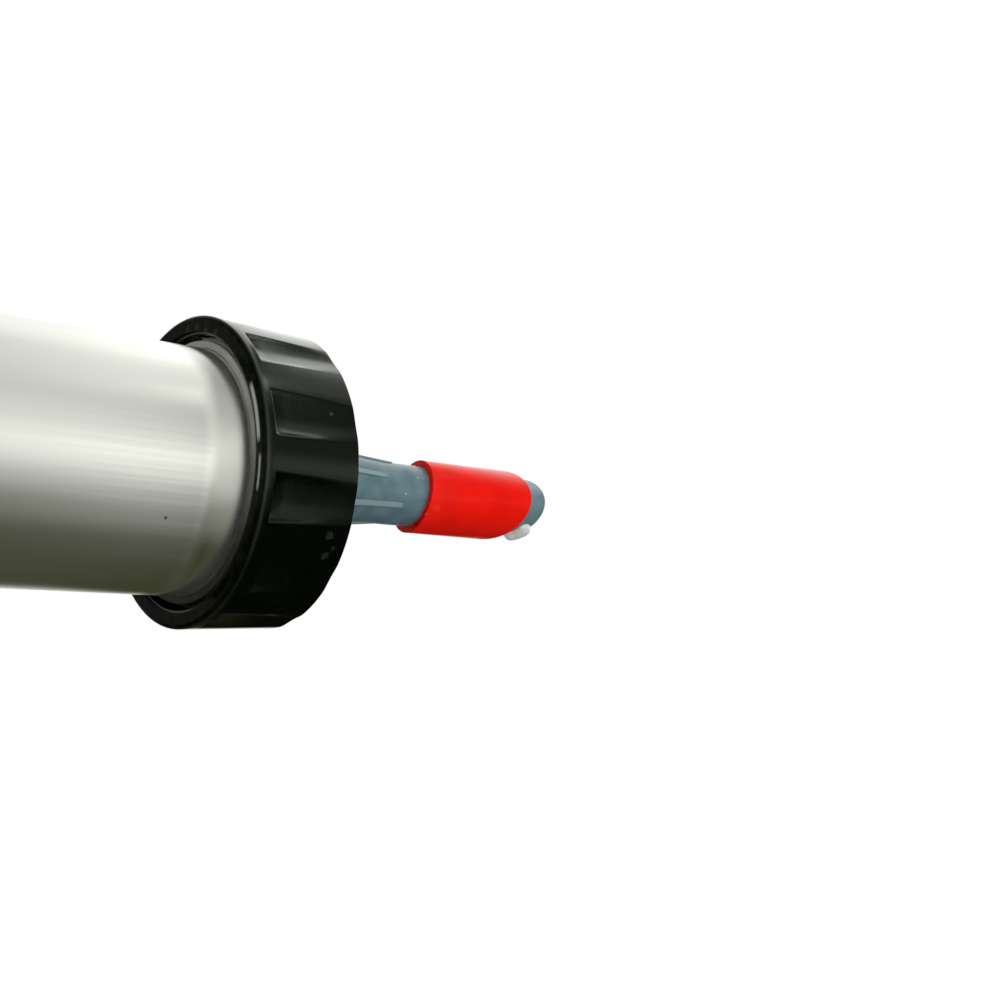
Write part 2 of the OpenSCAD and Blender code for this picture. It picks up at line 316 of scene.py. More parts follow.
class Nodes:
    """A thin writer of shader nodes: inputs are values or sockets, by name or index."""

    def __init__(self, tree: bpy.types.NodeTree) -> None:
        """Keep the tree that nodes are added to."""
        self.tree = tree

    def add(self, kind: str, inputs: dict | None = None, **settings: object) -> bpy.types.Node:
        """Add a node.

        Args:
            kind: Blender's node type.
            inputs: Input name or index to a value or an output socket.
            settings: Attributes of the node.

        Returns:
            The node.
        """
        node = self.tree.nodes.new(kind)
        for key, value in settings.items():
            setattr(node, key, value)
        for key, value in (inputs or {}).items():
            if isinstance(value, bpy.types.NodeSocket):
                self.link(value, node, key)
            else:
                node.inputs[key].default_value = value
        return node

    def math(self, operation: str, *values: object, clamp: bool = False) -> bpy.types.NodeSocket:
        """Result of a Math node.

        Args:
            operation: The operation's name.
            values: Its inputs in order.
            clamp: Whether the result is held between 0 and 1.

        Returns:
            The output socket.
        """
        inputs = dict(enumerate(values))
        return self.add("ShaderNodeMath", inputs, operation=operation, use_clamp=clamp).outputs[0]

    def link(self, value: bpy.types.NodeSocket, node: bpy.types.Node, name: str | int) -> None:
        """Link an output to a node's input."""
        self.tree.links.new(value, node.inputs[name])

    def noise(
        self, coords: object, scale: object, detail: float = 2.0, roughness: float = 0.5
    ) -> bpy.types.NodeSocket:
        """Value of a Noise Texture node.

        Args:
            coords: Where it is read.
            scale: Its scale.
            detail: Its octaves.
            roughness: Share of each finer octave.

        Returns:
            The value.
        """
        inputs = {"Vector": coords, "Scale": scale, "Detail": detail, "Roughness": roughness}
        return self.add("ShaderNodeTexNoise", inputs).outputs[0]

    def split(self, coords: object) -> tuple:
        """X, Y and Z of coordinates."""
        return tuple(self.add("ShaderNodeSeparateXYZ", {0: coords}).outputs)

    def off_axis(self, x: object, y: object) -> bpy.types.NodeSocket:
        """Distance from the Z axis."""
        square = self.math("ADD", self.math("POWER", x, 2.0), self.math("POWER", y, 2.0))
        return self.math("SQRT", square)

    def between(self, value: object, low: float, high: float) -> bpy.types.NodeSocket:
        """Number that follows a noise.

        Args:
            value: The noise.
            low: The number at the noise's usual low end.
            high: The number at its usual high end.

        Returns:
            The number.
        """
        ends = {"From Min": NOISE_LOW, "From Max": NOISE_HIGH, "To Min": low, "To Max": high}
        return self.add("ShaderNodeMapRange", {"Value": value, **ends}).outputs[0]

    def ramp(self, factor: object, low: float, high: float) -> bpy.types.NodeSocket:
        """Smooth step of a factor.

        Args:
            factor: The factor.
            low: Where the step is 0.
            high: Where it is 1.

        Returns:
            The step.
        """
        node = self.add(
            "ShaderNodeMapRange",
            {"Value": factor, "From Min": low, "From Max": high},
            interpolation_type="SMOOTHSTEP",
        )
        return node.outputs[0]

    def mix(self, factor: object, first: object, second: object) -> bpy.types.NodeSocket:
        """Colour between two colours.

        Args:
            factor: 0 gives the first, 1 the second.
            first, second: Colours or colour sockets.

        Returns:
            The mixed colour.
        """
        node = self.add("ShaderNodeMix", {"Factor": factor}, data_type="RGBA", clamp_factor=False)
        for name, value in (("A", first), ("B", second)):
            socket = next(s for s in node.inputs if s.name == name and s.type == "RGBA")
            if isinstance(value, bpy.types.NodeSocket):
                self.tree.links.new(value, socket)
            else:
                socket.default_value = value
        return next(s for s in node.outputs if s.type == "RGBA")

    def place(self) -> bpy.types.NodeSocket:
        """Object coordinates."""
        return self.add("ShaderNodeTexCoord").outputs["Object"]

    def stretched(self, coords: object, scale: Sequence[float]) -> bpy.types.NodeSocket:
        """Coordinates scaled along each axis."""
        node = self.add("ShaderNodeMapping", {"Vector": coords, "Scale": tuple(scale)})
        return node.outputs[0]


def make_group(name: str, inputs: dict, outputs: Sequence[str]) -> tuple:
    """Start a shader node group.

    Args:
        name: The group's name.
        inputs: Input name to its socket type and default value.
        outputs: Names of its value outputs.

    Returns:
        The group, its node writer, and its input and output nodes.
    """
    group = bpy.data.node_groups.new(name, "ShaderNodeTree")
    for label, (kind, default) in inputs.items():
        socket = group.interface.new_socket(label, in_out="INPUT", socket_type=kind)
        if default is not None:
            socket.default_value = default
    for label in outputs:
        group.interface.new_socket(label, in_out="OUTPUT", socket_type="NodeSocketFloat")
    nodes = Nodes(group)
    return group, nodes, nodes.add("NodeGroupInput"), nodes.add("NodeGroupOutput")


FLOAT = "NodeSocketFloat"
VECTOR = "NodeSocketVector"


class Effects:
    """Shared surface effects, each a node group that is built once."""

    def __init__(self) -> None:
        """Build the groups."""
        self.streaks = self._streaks()
        self.grain = self._grain()
        self.specks = self._specks()
        self.band = self._band()
        self.spot = self._spot()
        # Painted highlight: a pale arc mask that stands in for a glint.
        self.arc = self._glint_arc()

    @staticmethod
    def use(nodes: Nodes, group: bpy.types.NodeTree, inputs: dict) -> bpy.types.Node:
        """Place a group in a material.

        Args:
            nodes: The material's writer.
            group: The effect.
            inputs: Its input values.

        Returns:
            The group node.
        """
        return nodes.add("ShaderNodeGroup", inputs, node_tree=group)

    @staticmethod
    def _streaks() -> bpy.types.NodeTree:
        """Fine lines along Z, as drawing through a die leaves them, and a broad cloud of tone.

        Returns:
            The group.
        """
        group, n, given, out = make_group(
            "drawn_streaks",
            {"Vector": (VECTOR, None), "Fineness": (FLOAT, 900.0), "Cloud": (FLOAT, 25.0)},
            ("Lines", "Tone"),
        )
        along = n.stretched(given.outputs["Vector"], (1.0, 1.0, 0.012))
        soft = n.stretched(given.outputs["Vector"], (1.0, 1.0, 0.2))
        n.link(n.noise(along, given.outputs["Fineness"], 4.0, 0.6), out, "Lines")
        n.link(n.noise(soft, given.outputs["Cloud"], 3.0), out, "Tone")
        return group

    @staticmethod
    def _grain() -> bpy.types.NodeTree:
        """Fine grain of a moulded or turned surface, and a slow unevenness.

        Returns:
            The group.
        """
        group, n, given, out = make_group(
            "grain",
            {"Vector": (VECTOR, None), "Fineness": (FLOAT, 1500.0), "Waves": (FLOAT, 120.0)},
            ("Grain", "Wave"),
        )
        for label, size, detail in (("Grain", "Fineness", 3.0), ("Wave", "Waves", 1.0)):
            value = n.noise(given.outputs["Vector"], given.outputs[size], detail, 0.55)
            n.link(value, out, label)
        return group

    @staticmethod
    def _specks() -> bpy.types.NodeTree:
        """Sparse specks of dust.

        Returns:
            The group.
        """
        group, n, given, out = make_group(
            "dust_specks",
            {
                "Vector": (VECTOR, None), "Size": (FLOAT, 260.0), "Rarity": (FLOAT, 0.66),
                "Edge": (FLOAT, 14.0),
            },
            ("Specks",),
        )
        specks = n.noise(given.outputs["Vector"], given.outputs["Size"], 6.0)
        over = n.math("SUBTRACT", specks, given.outputs["Rarity"])
        n.link(n.math("MULTIPLY", over, given.outputs["Edge"], clamp=True), out, "Specks")
        return group

    @staticmethod
    def _band() -> bpy.types.NodeTree:
        """Mask of a band around the axis at a height, broken up by noise, as wear at an edge is.

        Returns:
            The group.
        """
        group, n, given, out = make_group(
            "edge_band",
            {
                "Vector": (VECTOR, None), "Height": (FLOAT, 0.0), "Width": (FLOAT, 0.001),
                "Breaks": (FLOAT, 400.0),
            },
            ("Mask",),
        )
        height = n.split(given.outputs["Vector"])[2]
        away = n.math("ABSOLUTE", n.math("SUBTRACT", height, given.outputs["Height"]))
        near = n.math("SUBTRACT", 1.0, n.math("DIVIDE", away, given.outputs["Width"]), clamp=True)
        breaks = n.noise(given.outputs["Vector"], given.outputs["Breaks"], 3.0)
        worn = n.math("MULTIPLY", near, n.ramp(breaks, 0.4, 0.62))
        n.link(worn, out, "Mask")
        return group

    @staticmethod
    def _glint_arc() -> bpy.types.NodeTree:
        """Mask of a painted glint arc around Z, whose ends fade, up to a height; the pale arc stands in
        for a highlight.

        Returns:
            The group.
        """
        group, n, given, out = make_group(
            "painted_glint_arc",
            {
                "Vector": (VECTOR, None), "Radius": (FLOAT, 0.03), "Width": (FLOAT, 0.001),
                "Middle": (FLOAT, 0.0), "Half": (FLOAT, 0.1), "Below": (FLOAT, 1.0),
            },
            ("Mask",),
        )
        x, y, z = n.split(given.outputs["Vector"])
        off = n.math("ABSOLUTE", n.math("SUBTRACT", n.off_axis(x, y), given.outputs["Radius"]))
        across = n.math("SUBTRACT", 1.0, n.math("DIVIDE", off, given.outputs["Width"]), clamp=True)
        turn = n.math("SUBTRACT", n.math("ARCTAN2", y, x), given.outputs["Middle"])
        aside = n.math("DIVIDE", n.math("ABSOLUTE", turn), given.outputs["Half"])
        along = n.math("MULTIPLY", n.math("SUBTRACT", 1.0, aside), 4.0, clamp=True)
        along = n.math("MULTIPLY", along, n.math("LESS_THAN", z, given.outputs["Below"]))
        n.link(n.math("MULTIPLY", n.math("SQRT", across), along), out, "Mask")
        return group

    @staticmethod
    def _spot() -> bpy.types.NodeTree:
        """Mask of one ragged spot around a point.

        Returns:
            The group.
        """
        group, n, given, out = make_group(
            "spot",
            {
                "Vector": (VECTOR, None), "Centre": (VECTOR, None), "Radius": (FLOAT, 0.001),
                "Raggedness": (FLOAT, 2.0),
            },
            ("Mask",),
        )
        apart = n.add(
            "ShaderNodeVectorMath",
            {0: given.outputs["Vector"], 1: given.outputs["Centre"]}, operation="DISTANCE",
        )
        share = n.math("DIVIDE", apart.outputs["Value"], given.outputs["Radius"])
        rag = n.math("SUBTRACT", n.noise(given.outputs["Vector"], 900.0), 0.5)
        edge = n.math("ADD", share, n.math("MULTIPLY", rag, given.outputs["Raggedness"]))
        n.link(n.math("SUBTRACT", 1.0, n.ramp(edge, 0.6, 1.1)), out, "Mask")
        return group


@dataclass(frozen=True)
class Finish:
    """Common part of a finish: its name and the settings that are the same all over."""

    name: str
    sockets: dict = field(default_factory=dict)

    def build(self, effects: Effects) -> bpy.types.Material:
        """Make the material.

        Args:
            effects: The shared effect groups.

        Returns:
            The material.
        """
        material = bpy.data.materials.new(self.name)
        material.use_nodes = True
        material.node_tree.nodes.clear()
        nodes = Nodes(material.node_tree)
        shader = nodes.add("ShaderNodeBsdfPrincipled", dict(self.sockets))
        output = nodes.add("ShaderNodeOutputMaterial")
        nodes.link(shader.outputs[0], output, 0)
        self.detail(nodes, shader, effects)
        return material

    def detail(self, nodes: Nodes, shader: bpy.types.Node, effects: Effects) -> None:
        """Link what changes over the surface.

        Args:
            nodes: The material's writer.
            shader: The shader.
            effects: The shared effect groups.
        """
        raise NotImplementedError

    @staticmethod
    def bump(nodes: Nodes, shader: bpy.types.Node, height: object, distance: float) -> None:
        """Link a height to the shader's normal.

        Args:
            nodes: The material's writer.
            shader: The shader.
            height: Height socket.
            distance: Height in metres that a value of 1 stands for.
        """
        node = nodes.add("ShaderNodeBump", {"Height": height, "Distance": distance, "Strength": 1.0})
        nodes.link(node.outputs[0], shader, "Normal")


@dataclass(frozen=True)
class DrawnAluminium(Finish):
    """Satin drawn aluminium with faint lines along the tube."""

    light: tuple = srgb(244, 243, 238)
    dark: tuple = srgb(235, 234, 227)
    mark: tuple = srgb(128, 130, 118)
    spots: tuple = ()
    roll_z: float = 0.0
    roll_slope: float = 0.19
    roll_blend: float = 3.2 * MM
    film_from: float = 1.0 * MM
    film_to: float = 6.5 * MM
    film_share: float = 0.09
    rough: tuple = (0.2, 0.26)
    line_height: float = 0.000003

    def detail(self, nodes: Nodes, shader: bpy.types.Node, effects: Effects) -> None:
        """Tone and roughness follow the drawn lines; a few small marks are dark.

        The end is rolled out a little, which only turns the light on it, and has a thin dull film.

        Args:
            nodes: The material's writer.
            shader: The shader.
            effects: The shared effect groups.
        """
        coords = nodes.place()
        lines = effects.use(nodes, effects.streaks, {"Vector": coords})
        tone = nodes.ramp(lines.outputs["Tone"], 0.3, 0.7)
        colour = nodes.mix(tone, self.dark, self.light)
        for centre, radius in self.spots:
            mask = effects.use(
                nodes, effects.spot, {"Vector": coords, "Centre": tuple(centre), "Radius": radius}
            ).outputs[0]
            colour = nodes.mix(mask, colour, self.mark)
        nodes.link(colour, shader, "Base Color")
        nodes.link(nodes.between(lines.outputs["Lines"], *self.rough), shader, "Roughness")
        height = nodes.split(coords)[2]
        film = nodes.ramp(height, self.roll_z + self.film_from, self.roll_z + self.film_to)
        metal = nodes.math("SUBTRACT", 1.0, nodes.math("MULTIPLY", film, self.film_share))
        nodes.link(metal, shader, "Metallic")
        past = nodes.math("SUBTRACT", height, self.roll_z)
        past = nodes.math("SMOOTH_MAX", past, 0.0, self.roll_blend)
        rolled = nodes.math("MULTIPLY", past, self.roll_slope / MM)
        drawn = nodes.math("MULTIPLY", lines.outputs["Lines"], self.line_height / MM)
        self.bump(nodes, shader, nodes.math("ADD", rolled, drawn), MM)


@dataclass(frozen=True)
class TurnedAluminium(Finish):
    """Machined aluminium with turning lines around the axis."""

    light: tuple = srgb(210, 213, 205)
    dark: tuple = srgb(186, 189, 178)
    # Painted shade: the ring darkens to this colour towards -X, so that only the +X side stays light.
    painted_shade_colour: tuple = srgb(66, 68, 54)
    painted_shade_x: tuple = (24 * MM, -20 * MM)
    fineness: float = 7000.0
    radial_share: float = 0.9
    rough: tuple = (0.29, 0.42)
    line_height: float = 0.000005

    def detail(self, nodes: Nodes, shader: bpy.types.Node, effects: Effects) -> None:
        """Turning lines change with height and radius; the tone varies in patches, and painted shade
        darkens the -X side, leaving the +X side light.

        Args:
            nodes: The material's writer.
            shader: The shader.
            effects: The shared effect groups.
        """
        coords = nodes.place()
        x, y, z = nodes.split(coords)
        across = nodes.math("MULTIPLY", nodes.off_axis(x, y), self.radial_share)
        turning = nodes.add(
            "ShaderNodeTexNoise",
            {"W": nodes.math("ADD", across, z), "Scale": self.fineness, "Detail": 2.0},
            noise_dimensions="1D",
        ).outputs[0]
        patches = effects.use(nodes, effects.grain, {"Vector": coords, "Waves": 90.0})
        tone = nodes.ramp(patches.outputs["Wave"], 0.35, 0.65)
        clean = nodes.mix(tone, self.dark, self.light)
        # Painted shade: darker towards -X, light only on the +X side.
        painted_shade = nodes.ramp(x, *self.painted_shade_x)
        nodes.link(nodes.mix(painted_shade, clean, self.painted_shade_colour), shader, "Base Color")
        nodes.link(nodes.between(turning, *self.rough), shader, "Roughness")
        self.bump(nodes, shader, turning, self.line_height)


@dataclass(frozen=True)
class MouldedPlastic(Finish):
    """Moulded plastic: a colour with slight unevenness, fine grain and dust."""

    colour: tuple = srgb(20, 20, 20)
    shade: tuple = srgb(12, 12, 12)
    dust: tuple = srgb(120, 122, 116)
    dust_share: float = 0.0
    rarity: float = 0.66
    rough_low: float = 0.1
    rough_high: float = 0.2
    grain_height: float = 0.00001
    wave_height: float = 0.0
    waves: float = 120.0
    bands: tuple = ()
    spots: tuple = ()
    # Painted highlight: pale arcs, mixed over the colour below a height, that stand in for a glint.
    arcs: tuple = ()
    arcs_below: float = 1.0
    worn_rough: float = 0.4
    # Pale colour of the arcs, a painted highlight.
    glint_colour: tuple = srgb(214, 218, 210)

    def detail(self, nodes: Nodes, shader: bpy.types.Node, effects: Effects) -> None:
        """Colour varies with slow waves; dust, rubbed bands and spots lie over it, and pale arcs over
        all are a painted highlight.

        Args:
            nodes: The material's writer.
            shader: The shader.
            effects: The shared effect groups.
        """
        coords = nodes.place()
        grain = effects.use(nodes, effects.grain, {"Vector": coords, "Waves": self.waves})
        tone = nodes.ramp(grain.outputs["Wave"], 0.35, 0.65)
        colour = self.tint(nodes, coords, nodes.mix(tone, self.shade, self.colour))
        marks = effects.use(nodes, effects.specks, {"Vector": coords, "Rarity": self.rarity})
        worn = nodes.math("MULTIPLY", marks.outputs["Specks"], self.dust_share)
        for height, width in self.bands:
            mask = effects.use(
                nodes, effects.band, {"Vector": coords, "Height": height, "Width": width}
            ).outputs[0]
            worn = nodes.math("MAXIMUM", worn, nodes.math("MULTIPLY", mask, self.dust_share))
        for centre, radius, strength in self.spots:
            mask = effects.use(
                nodes, effects.spot, {"Vector": coords, "Centre": tuple(centre), "Radius": radius}
            ).outputs[0]
            worn = nodes.math("MAXIMUM", worn, nodes.math("MULTIPLY", mask, strength))
        colour = nodes.mix(worn, colour, self.dust)
        # Painted highlight: pale arcs that stand in for a glint on the lip.
        for radius, width, middle, half, strength in self.arcs:
            mask = effects.use(nodes, effects.arc, {
                "Vector": coords, "Radius": radius, "Width": width, "Middle": middle, "Half": half,
                "Below": self.arcs_below,
            }).outputs[0]
            colour = nodes.mix(nodes.math("MULTIPLY", mask, strength), colour, self.glint_colour)
        nodes.link(colour, shader, "Base Color")
        rough = nodes.between(grain.outputs["Grain"], self.rough_low, self.rough_high)
        rough = nodes.math("ADD", rough, nodes.math("MULTIPLY", worn, self.worn_rough), clamp=True)
        nodes.link(rough, shader, "Roughness")
        height = nodes.math(
            "ADD",
            nodes.math("MULTIPLY", grain.outputs["Grain"], self.grain_height / MM),
            nodes.math("MULTIPLY", grain.outputs["Wave"], self.wave_height / MM),
        )
        self.bump(nodes, shader, height, MM)

    def tint(self, nodes: Nodes, coords: object, colour: object) -> object:
        """The colour itself, as nothing is added to it here."""
        return colour


@dataclass(frozen=True)
class RibbedPlastic(MouldedPlastic):
    """Moulded plastic that is paler where it stands out of a body of revolution, as on ribs."""

    pale: tuple = srgb(150, 172, 176)
    pale_share: float = 0.9
    stations: tuple = ()
    proud: tuple = (0.12 * MM, 0.24 * MM)

    def tint(self, nodes: Nodes, coords: object, colour: object) -> object:
        """Mix in the pale tone where the radius is over the lines through the stations.

        Args:
            nodes: The material's writer.
            coords: Object coordinates.
            colour: The colour so far.

        Returns:
            The colour with paler ribs.
        """
        x, y, z = nodes.split(coords)
        body = self.stations[-1][1]
        for (low_z, low_r), (high_z, high_r) in zip(self.stations, self.stations[1:]):
            slope = (high_r - low_r) / (high_z - low_z)
            line = nodes.math("ADD", nodes.math("MULTIPLY", z, slope), low_r - slope * low_z)
            body = nodes.math("MAXIMUM", body, line)
        body = nodes.math("MINIMUM", body, self.stations[0][1])
        over = nodes.math("SUBTRACT", nodes.off_axis(x, y), body)
        share = nodes.math("MULTIPLY", nodes.ramp(over, *self.proud), self.pale_share)
        return nodes.mix(share, colour, self.pale)


@dataclass(frozen=True)
class Ring:
    """Brightness around Z from an elevation on.

    It takes over between start and full, in degrees. Dark is its share of the dark tone, and each
    stop is a share of the full turn with a brightness.
    """

    start: float
    full: float
    dark: float
    stops: tuple

    def around(self, nodes: Nodes, turn: object) -> bpy.types.NodeSocket:
        """Brightness at a share of the full turn.

        Args:
            nodes: Writer of the floor's or the world's nodes.
            turn: Socket with the share.

        Returns:
            The brightness, as a grey.
        """
        ramp = nodes.add("ShaderNodeValToRGB", {0: turn})
        ramp.color_ramp.interpolation = "EASE"
        elements = ramp.color_ramp.elements
        for place, _ in self.stops[1:-1]:
            elements.new(place)
        for element, (place, value) in zip(elements, self.stops):
            element.position = place
            element.color = (value, value, value, 1.0)
        return ramp.outputs[0]


class Cyclorama:
    """What shiny surfaces see around the part: a white side, a soft strip and a dark side.

    The stops of each ring run over the angle around Z, counted from -90 degrees.
    """

    RINGS = (
        Ring(-90.0, -80.0, 1.0, (
            (0.0, 0.5), (0.18, 0.16), (0.24, 0.18), (0.35, 0.43), (0.45, 0.77), (0.53, 0.6),
            (0.6, 0.22), (0.7, 0.0), (0.93, 0.0), (1.0, 0.5),
        )),
        Ring(12.0, 19.0, 1.0, (
            (0.0, 1.1), (0.15, 1.1), (0.23, 0.8), (0.34, 0.66), (0.41, 0.76), (0.465, 0.98),
            (0.5, 0.8), (0.555, 0.38), (0.61, 0.15), (0.7, 0.05), (0.9, 0.03), (1.0, 1.1),
        )),
        Ring(22.5, 26.5, 1.0, (
            (0.0, 1.35), (0.17, 1.35), (0.25, 1.0), (0.35, 0.79), (0.41, 0.91), (0.48, 1.56),
            (0.52, 1.28), (0.56, 0.86), (0.62, 0.42), (0.7, 0.1), (0.8, 0.03), (0.93, 0.0),
            (1.0, 1.35),
        )),
        Ring(29.8, 31.0, 0.2, (
            (0.0, 1.6), (0.175, 2.0), (0.205, 0.42), (0.236, 0.2), (0.27, 0.5), (0.3, 2.4),
            (0.33, 0.6), (0.36, 0.18), (0.45, 0.25), (0.515, 0.42), (0.54, 0.11), (0.6, 0.0),
            (0.93, 0.0), (1.0, 1.6),
        )),
        Ring(32.9, 34.2, 0.2, (
            (0.0, 1.5), (0.2, 1.5), (0.235, 1.15), (0.265, 0.66), (0.29, 0.58), (0.31, 0.35),
            (0.38, 0.13), (0.44, 0.2), (0.473, 0.65), (0.51, 0.13), (0.6, 0.0), (0.93, 0.0),
            (1.0, 1.5),
        )),
    )
    LIGHT = (0.985, 1.0, 0.965, 1.0)
    DARK = (0.030, 0.036, 0.010, 1.0)

    @classmethod
    def colour(cls, nodes: Nodes, direction: object) -> bpy.types.NodeSocket:
        """Colour of the surroundings in a direction.

        Args:
            nodes: Writer of the floor's or the world's nodes.
            direction: Socket with the direction from the part, or a place on the floor.

        Returns:
            The colour.
        """
        x, y, z = nodes.split(direction)
        angle = nodes.math("ARCTAN2", x, nodes.math("MULTIPLY", y, -1.0))
        turn = nodes.math("DIVIDE", angle, math.tau)
        turn = nodes.math("FRACT", nodes.math("ADD", turn, 1.0))
        rise = nodes.math("ARCTAN2", z, nodes.off_axis(x, y))
        value, dark = cls.RINGS[0].around(nodes, turn), cls.DARK
        for ring in cls.RINGS[1:]:
            share = nodes.ramp(rise, math.radians(ring.start), math.radians(ring.full))
            value = nodes.mix(share, value, ring.around(nodes, turn))
            dark = nodes.mix(share, dark, tuple(part * ring.dark for part in cls.DARK[:3]) + (1.0,))
        return nodes.mix(value, dark, cls.LIGHT)


@dataclass(frozen=True)
class StudioFloor(Finish):
    """Pale floor that runs out to the white background and keeps the object's shadow."""

    pale: tuple = srgb(236, 236, 234)
    paler: tuple = srgb(240, 240, 239)
    plain_radius: float = 0.7
    faded_radius: float = 2.2
    shaded_radius: float = 0.5
    lit_radius: float = 1.3
    shade: float = 0.15
    lit: float = 1.0

    def detail(self, nodes: Nodes, shader: bpy.types.Node, effects: Effects) -> None:
        """The far floor takes the background's white; reflections see the surroundings on it.

        Args:
            nodes: The material's writer.
            shader: The shader.
            effects: The shared effect groups.
        """
        coords = nodes.place()
        away = nodes.add("ShaderNodeVectorMath", {0: coords}, operation="LENGTH").outputs["Value"]
        grain = effects.use(nodes, effects.grain, {"Vector": coords, "Waves": 6.0, "Fineness": 300.0})
        tone = nodes.mix(grain.outputs["Wave"], self.pale, self.paler)
        nodes.link(tone, shader, "Base Color")
        path = nodes.add("ShaderNodeLightPath")
        white = nodes.add("ShaderNodeEmission", {"Color": (1, 1, 1, 1), "Strength": 1.0})
        open_floor = nodes.ramp(away, self.shaded_radius, self.lit_radius)
        level = nodes.math("ADD", self.shade, nodes.math("MULTIPLY", open_floor, self.lit - self.shade))
        round_about = nodes.add(
            "ShaderNodeEmission", {"Color": Cyclorama.colour(nodes, coords), "Strength": level}
        )
        seen = nodes.math("MAXIMUM", path.outputs["Is Camera Ray"], path.outputs["Is Transmission Ray"])
        far = nodes.math("MULTIPLY", nodes.ramp(away, self.plain_radius, self.faded_radius), seen)
        plain = nodes.add("ShaderNodeMixShader", {0: far, 1: shader.outputs[0], 2: white.outputs[0]})
        mixed = nodes.add(
            "ShaderNodeMixShader",
            {0: path.outputs["Is Glossy Ray"], 1: plain.outputs[0], 2: round_about.outputs[0]},
        )
        output = next(o for o in nodes.tree.nodes if o.type == "OUTPUT_MATERIAL")
        nodes.link(mixed.outputs[0], output, 0)


@dataclass
class Barrel:
    """The aluminium tube, with the rings at its two ends."""

    edge: float = 0.35 * MM
    steps: int = 192
    thread_pitch: float = 3.0 * MM
    thread_depth: float = 0.9 * MM
    thread_start: float = 1.2 * MM
    thread_stop: float = 0.6 * MM
    ring_edge: float = 0.4 * MM

    def tube(self) -> bmesh.types.BMesh:
        """The drawn tube with its two ends eased.

        Returns:
            The tube.
        """
        low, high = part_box("barrel_tube")
        outer = high.x
        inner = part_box("socket_ring")[1].x + HAIR
        return spin_profile(
            rounded([
                Corner(inner, low.z, self.edge), Corner(outer, low.z, self.edge),
                Corner(outer, high.z, self.edge), Corner(inner, high.z, self.edge),
            ]),
            True, self.steps,
        )

    def thread_ring(self) -> bmesh.types.BMesh:
        """The front ring with its outer thread cut as a true helix.

        Returns:
            The ring.
        """
        low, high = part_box("thread_ring")
        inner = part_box("barrel_tube")[1].x + HAIR
        root = high.x - self.thread_depth
        bm = spin_profile(
            rounded([
                Corner(inner, low.z, self.ring_edge / 2), Corner(root, low.z, self.ring_edge),
                Corner(root, high.z, self.ring_edge), Corner(inner, high.z, self.ring_edge / 2),
            ]),
            True, self.steps,
        )
        thread = Thread(
            root_r=root, depth=self.thread_depth, pitch=self.thread_pitch,
            low=low.z + self.thread_start, high=high.z - self.thread_stop,
        )
        thread.add_to(bm)
        return bm

    def build(self, finishes: "Finishes") -> None:
        """Make and dress the barrel's pieces.

        Args:
            finishes: All finishes.
        """
        Piece("barrel_skin", Body.BARREL, Slot.BARREL, ("barrel_tube",)).place(
            self.tube(), finishes.barrel
        )
        Piece("front_thread_ring", Body.BARREL, Slot.RING, ("thread_ring",)).place(
            self.thread_ring(), finishes.ring
        )
        dress_node("socket_ring", finishes.ring)


def dress_node(name: str, material: bpy.types.Material) -> None:
    """Give a node of the frame its finish.

    Args:
        name: The node.
        material: The finish.
    """
    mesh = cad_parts[name].data
    mesh.materials.clear()
    mesh.materials.append(material)
    LOG.info("%s: keeps its solid, finish %s", name, material.name)


@dataclass
class Thread:
    """A helical ridge with sloping flanks. A negative depth makes it point to the axis."""

    root_r: float
    depth: float
    pitch: float
    low: float
    high: float
    root_share: float = 0.72
    crest_share: float = 0.28
    sunk: float = 0.1 * MM
    steps_per_turn: int = 64

    def add_to(self, bm: bmesh.types.BMesh) -> None:
        """Add the ridge to a mesh, sunk a little into its wall.

        Args:
            bm: The mesh that carries the ridge.
        """
        sunk = math.copysign(self.sunk, self.depth)
        half_root = self.root_share * self.pitch / 2
        half_crest = self.crest_share * self.pitch / 2
        travel = self.high - self.low - 2 * half_root
        turns = travel / self.pitch
        steps = max(8, round(turns * self.steps_per_turn))
        start = self.low + half_root
        section = [
            Vector((self.root_r - sunk, 0, start - half_root)),
            Vector((self.root_r + self.depth, 0, start - half_crest)),
            Vector((self.root_r + self.depth, 0, start + half_crest)),
            Vector((self.root_r - sunk, 0, start + half_root)),
        ]
        ridge = bmesh.new()
        verts = [ridge.verts.new(p) for p in section]
        face = ridge.faces.new(verts)
        bmesh.ops.spin(
            ridge, geom=[face], cent=(0, 0, 0), axis=(0, 0, 1), angle=math.tau * turns,
            dvec=(0, 0, travel / steps), steps=steps, use_merge=False,
        )
        weld(ridge)
        mesh = bpy.data.meshes.new("ridge")
        ridge.to_mesh(mesh)
        ridge.free()
        bm.from_mesh(mesh)
        bpy.data.meshes.remove(mesh)


def soft_min(first: float, second: float, blend: float) -> float:
    """Smaller of two values, eased where they are less than the blend apart."""
    near = max(blend - abs(first - second), 0.0) / blend
    return min(first, second) - near * near * blend / 4


